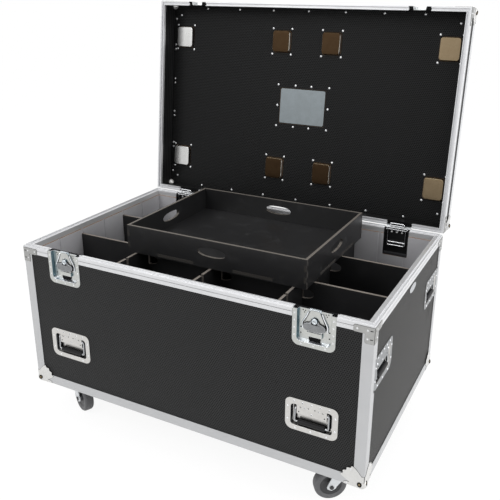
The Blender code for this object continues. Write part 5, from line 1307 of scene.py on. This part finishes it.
def badge():
    """The blank oval badge: an ellipse with a raised border round a flat field."""
    t = np.arange(64) * math.tau / 64
    rows = eased([(0.20, 0.0011), (0.80, 0.0011), (0.84, 0.0002), (0.93, 0.0002), (1.0, 0.0008), (1.0, 0.0016),
                  (0.20, 0.0016)], 0.05, 2)
    rings = [right(0.003 + 0.035 * share * np.cos(t), 0.466 + 0.013 * share * np.sin(t), depth)
             for share, depth in rows]
    Form().add(skin(rings)).make("badge_plate", "case_base", "badge", [BADGE_FACE], "side_badge")


# Casters

def caster_plate(name, matrix):
    """The top plate with four bolts and the upper half of its swivel race."""
    bolts = [(sa * 0.0370, sb * 0.0300) for sa, sb in QUARTERS]
    holes = [rounded(bolt, (0.0060, 0.0045), 0.0044, 4) for bolt in bolts]
    outline = rounded((0.0, 0.0), (0.050, 0.0425), 0.006, 5)
    form = Form().slab(upright, -0.0033, -0.0003, outline, *holes, edge=SMALL)
    form.turned(upright, [(0.004, -0.0030), (0.0300, -0.0030), (0.0300, -0.0090), (0.0240, -0.0138),
                          (0.004, -0.0138)], 56, 0.0025, 5)
    for bolt in bolts:
        place = shifted(upright, *bolt)
        form.turned(place, [(0.0030, -0.0020), (0.0090, -0.0020), (0.0090, -0.0046), (0.0030, -0.0046)],
                    28, SMALL, 2, 1)
        form.turned(place, [(0.0020, -0.0044), (0.0064, -0.0044), (0.0064, -0.0092), (0.0050, -0.0100),
                            (0.0020, -0.0100)], 6, 0.0005, 2, 1)
    form.make("caster_top_" + name, "case_base", "zinc", [CASTER_ZINC, RIVET_STEEL], "caster_plate_" + name,
              matrix=matrix)


def fork_strip():
    """The fork's strip: down one leg, over the crown and down the other.

    Its half width is a quarter circle's below the axle and 15 + 12 rise^0.9 mm above it, and its middle moves
    from the swivel to the axle by trail (1 - rise)^1.05, where rise goes from 0 at the axle to 1 at the crown.
    """
    shoulder = FORK_CROWN - 0.008
    leg = spread(-FORK_OUT, np.linspace(AXLE_Z - FORK_TIP, shoulder, 12))
    bend = eased([(-FORK_OUT, shoulder), (-FORK_OUT, FORK_CROWN), (-FORK_OUT + 0.008, FORK_CROWN)], 0.02, 7)
    path = np.concatenate([leg[:-1], bend])
    path = np.concatenate([path, path[::-1] * (-1, 1)])
    below = np.clip(AXLE_Z - path[:, 1], 0, FORK_TIP)
    rise = np.clip((path[:, 1] - AXLE_Z) / (FORK_CROWN - AXLE_Z), 0, 1)
    half = np.where(below > 0, 0.015 * np.sqrt(1 - (below / 0.012) ** 2), 0.015 + 0.012 * rise ** 0.9)
    middle = TRAIL * (1 - rise) ** 1.05
    tangent = np.gradient(path, axis=0)
    tangent /= np.linalg.norm(tangent, axis=1, keepdims=True)
    inner = path + FORK_T * spread(tangent[:, 1], -tangent[:, 0])
    bevel = np.minimum(SMALL, half / 3)
    outer_at, edge_at, inner_at = path.T, (0.7 * path + 0.3 * inner).T, inner.T
    return skin(np.stack([
        spread(middle - half + bevel, *outer_at), spread(middle + half - bevel, *outer_at),
        spread(middle + half, *edge_at), spread(middle + half, *inner_at),
        spread(middle - half, *inner_at), spread(middle - half, *edge_at),
    ], 1))


def caster_fork(name, matrix):
    """The swivel fork with its lower race, kingpin, axle and the axle's nuts and washers."""
    form = Form().add(fork_strip())
    form.turned(upright, [(0.002, -0.0146), (0.0255, -0.0146), (0.0275, -0.0165), (0.0255, -0.0205),
                          (0.002, -0.0210)], 48, 0.002, 4)
    form.turned(upright, [(0.001, -0.0190), (0.0095, -0.0190), (0.0095, -0.0245), (0.0080, -0.0262),
                          (0.001, -0.0262)], 6, SMALL, 2, 1)
    out = FORK_OUT
    for place in (flipped(axle), axle):
        form.turned(place, [(0.001, out - 0.001), (0.0070, out - 0.001), (0.0070, out + 0.0040),
                            (0.001, out + 0.0045)], 6, 0.0007, 3, 2)
        form.turned(place, [(0.001, out - 0.0005), (0.0092, out - 0.0005), (0.0092, out + 0.0010),
                            (0.001, out + 0.0010)], 32, SLIGHT, 2, 1)
    form.add(lathe([(0.0048, -out), (0.0048, out)], 20, axle), 1)
    form.make("caster_yoke_" + name, "caster_fork_" + name, "zinc", [CASTER_ZINC, RIVET_STEEL, HUB_PLASTIC],
              "caster_fork_" + name, matrix=matrix)


def caster_wheel(name, matrix):
    """The wheel: a rounded tyre, a dark hub with a raised ring and a steel bush."""
    half = WHEEL_HALF

    def both_sides(profile):
        return profile + [(radius, -out) for radius, out in reversed(profile)]
    side = both_sides([(0.0340, half - 0.0030), (0.0430, half - 0.0004), (WHEEL_R - 0.0042, half - 0.0012),
                       (WHEEL_R - 0.0006, half - 0.0055), (WHEEL_R, half - 0.0100)])
    inside = [(0.0325, -half + 0.006), (0.0325, half - 0.006)]
    form = Form().add(lathe(np.concatenate([eased(side, 0.0018, 3), inside]), 96, axle, True))
    form.turned(axle, both_sides([
        (0.0058, half - 0.0006), (0.0125, half - 0.0006), (0.0150, half - 0.0040), (0.0240, half - 0.0052),
        (0.0290, half - 0.0036), (0.0338, half - 0.0030),
    ]), 72, 0.0012, 3, 1, True)
    form.turned(axle, both_sides([(0.0050, half - 0.0002), (0.0088, half - 0.0002)]), 36, 0.0005, 2, 2, True)
    form.make("caster_roller_" + name, "caster_wheel_" + name, "tyre", [TYRE_RUBBER, HUB_PLASTIC, RIVET_STEEL],
              "caster_wheel_" + name, matrix=matrix)


def casters():
    """Each caster at its swivel, its fork and wheel turned the way they trail."""
    for name, x, y, turn in CASTERS:
        caster_plate(name, at((x, y, 0.0)))
        caster_fork(name, at((x, y, 0.0), turn))
        caster_wheel(name, at((x, y, 0.0), turn))


# Camera, lights and stage

VIEW_FROM, VIEW_ANGLES = (1.0324, -1.8692, 1.3280), (-26.757, 19.735, 0.496)    # azimuth, elevation, roll
VIEW_LENS, VIEW_SHIFT = 47.979, (-0.02443, -0.04654)


def linked(name, data):
    """A new object in the scene."""
    obj = bpy.data.objects.new(name, data)
    bpy.context.scene.collection.objects.link(obj)
    return obj


def camera():
    """The photograph's view: where it stands, which way it looks and its lens."""
    data = bpy.data.cameras.new("view")
    data.lens, (data.shift_x, data.shift_y) = VIEW_LENS, VIEW_SHIFT
    azimuth, elevation, roll = (math.radians(angle) for angle in VIEW_ANGLES)
    forward = Vector((math.sin(azimuth) * math.cos(elevation), math.cos(azimuth) * math.cos(elevation),
                      -math.sin(elevation)))
    side = forward.cross((0, 0, 1)).normalized()
    up = side.cross(forward)
    across = side * math.cos(roll) + up * math.sin(roll)
    above = up * math.cos(roll) - side * math.sin(roll)
    turn = Matrix((across, above, -forward)).transposed().to_4x4()
    obj = linked("view", data)
    obj.matrix_world = Matrix.Translation(VIEW_FROM) @ turn
    bpy.context.scene.camera = obj


def lights():
    """Three soft square lamps that face the middle of the case."""
    middle = Vector((0.0, 0.0, 0.4))
    for name, place, size, power in (
        ("key", (-1.6, -2.6, 2.9), 1.8, 42), ("side", (3.2, 0.2, 1.5), 2.2, 46),
        ("top", (0.2, 0.3, 3.6), 2.4, 30),
    ):
        data = bpy.data.lights.new(name, "AREA")
        data.size, data.energy = size, power
        obj = linked(name, data)
        obj.location = place
        obj.rotation_euler = (middle - Vector(place)).to_track_quat("-Z", "Y").to_euler()


def studio():
    """A white surround: full white where the camera, gloss or glass looks at it, softer as a light."""
    world = bpy.data.worlds.new("studio")
    bpy.context.scene.world = world
    world.use_nodes = True
    world.node_tree.nodes.clear()
    nodes = Nodes(world.node_tree)
    softer, full = (
        nodes.value(nodes.node("ShaderNodeBackground", {}, {"Color": (1.0, 1.0, 1.0), "Strength": strength}))
        for strength in (0.62, 1.0)
    )
    mixer = nodes.node("ShaderNodeMixShader", {}, {0: nodes.background_ray(), 1: softer, 2: full})
    nodes.node("ShaderNodeOutputWorld", {}, {0: nodes.value(mixer)})


def sheet(name, wide, high, level, finish):
    """A flat stage piece: one rectangle, wide by high, round the origin."""
    mesh = bpy.data.meshes.new(name)
    loop = [(sx * wide / 2, sy * high / 2, level) for sx, sy in ((-1, -1), (1, -1), (1, 1), (-1, 1))]
    mesh.from_pydata(loop, [], [(0, 1, 2, 3)])
    mesh.materials.append(finish.material)
    obj = linked(name, mesh)
    return obj


def floor():
    """A pale floor that shows white to the camera and keeps the case's soft shadow."""
    finish = Finish("studio_floor", (0.88, 0.88, 0.88), 0.9)
    glow = finish.value(finish.node("ShaderNodeEmission", {}, {"Color": (1.0, 1.0, 1.0), "Strength": 1.07}))
    values = {0: finish.background_ray() * 0.86, 1: finish.value(finish.shader), 2: glow}
    mixer = finish.value(finish.node("ShaderNodeMixShader", {}, values))
    finish.plug(finish.tree.nodes["Material Output"].inputs[0], mixer)
    sheet("studio_floor", 120.0, 120.0, FLOOR_Z, finish)


def cards():
    """Dark cards beside and behind the camera that only glossy rays see, for lines in the bright metal."""
    black = Finish("card", (0.02, 0.02, 0.02), 0.9)
    places = (((-3.0, -1.5, 1.2), (2.2, 2.6), (0.0, 90.0)), ((2.6, -3.2, 2.6), (1.5, 2.4), (55.0, 0.0)))
    for number, (middle, size, (tip, lean)) in enumerate(places):
        obj = sheet(f"card_{number}", *size, 0.0, black)
        obj.location = middle
        obj.rotation_euler = (math.radians(tip), math.radians(lean), 0.0)
        obj.visible_camera = obj.visible_diffuse = obj.visible_shadow = obj.visible_transmission = False


dress(FILM_FRONT, "base_front_wall", "base_rear_wall")
dress(FILM_SIDE, "base_left_wall", "base_right_wall")
dress(FILM_FLOOR, "base_floor_panel")
dress(laminate("lining_board"), "wall_lining")
dress(FILM_LID_WALL, "lid_walls")
dress(CASTER_ZINC, "hinge_base_leaf_left", "hinge_base_leaf_right")
dress(LID_ZINC, "hinge_lid_leaf_left", "hinge_lid_leaf_right")
for piece in (base_rim, lid_rim, frames, handles, latches, hinges, lid_panel, lid_cups, lid_label, lid_rivets,
              planks, tray, badge, casters, camera, lights, studio, floor, cards):
    piece()
bpy.context.scene.view_settings.view_transform = "Standard"
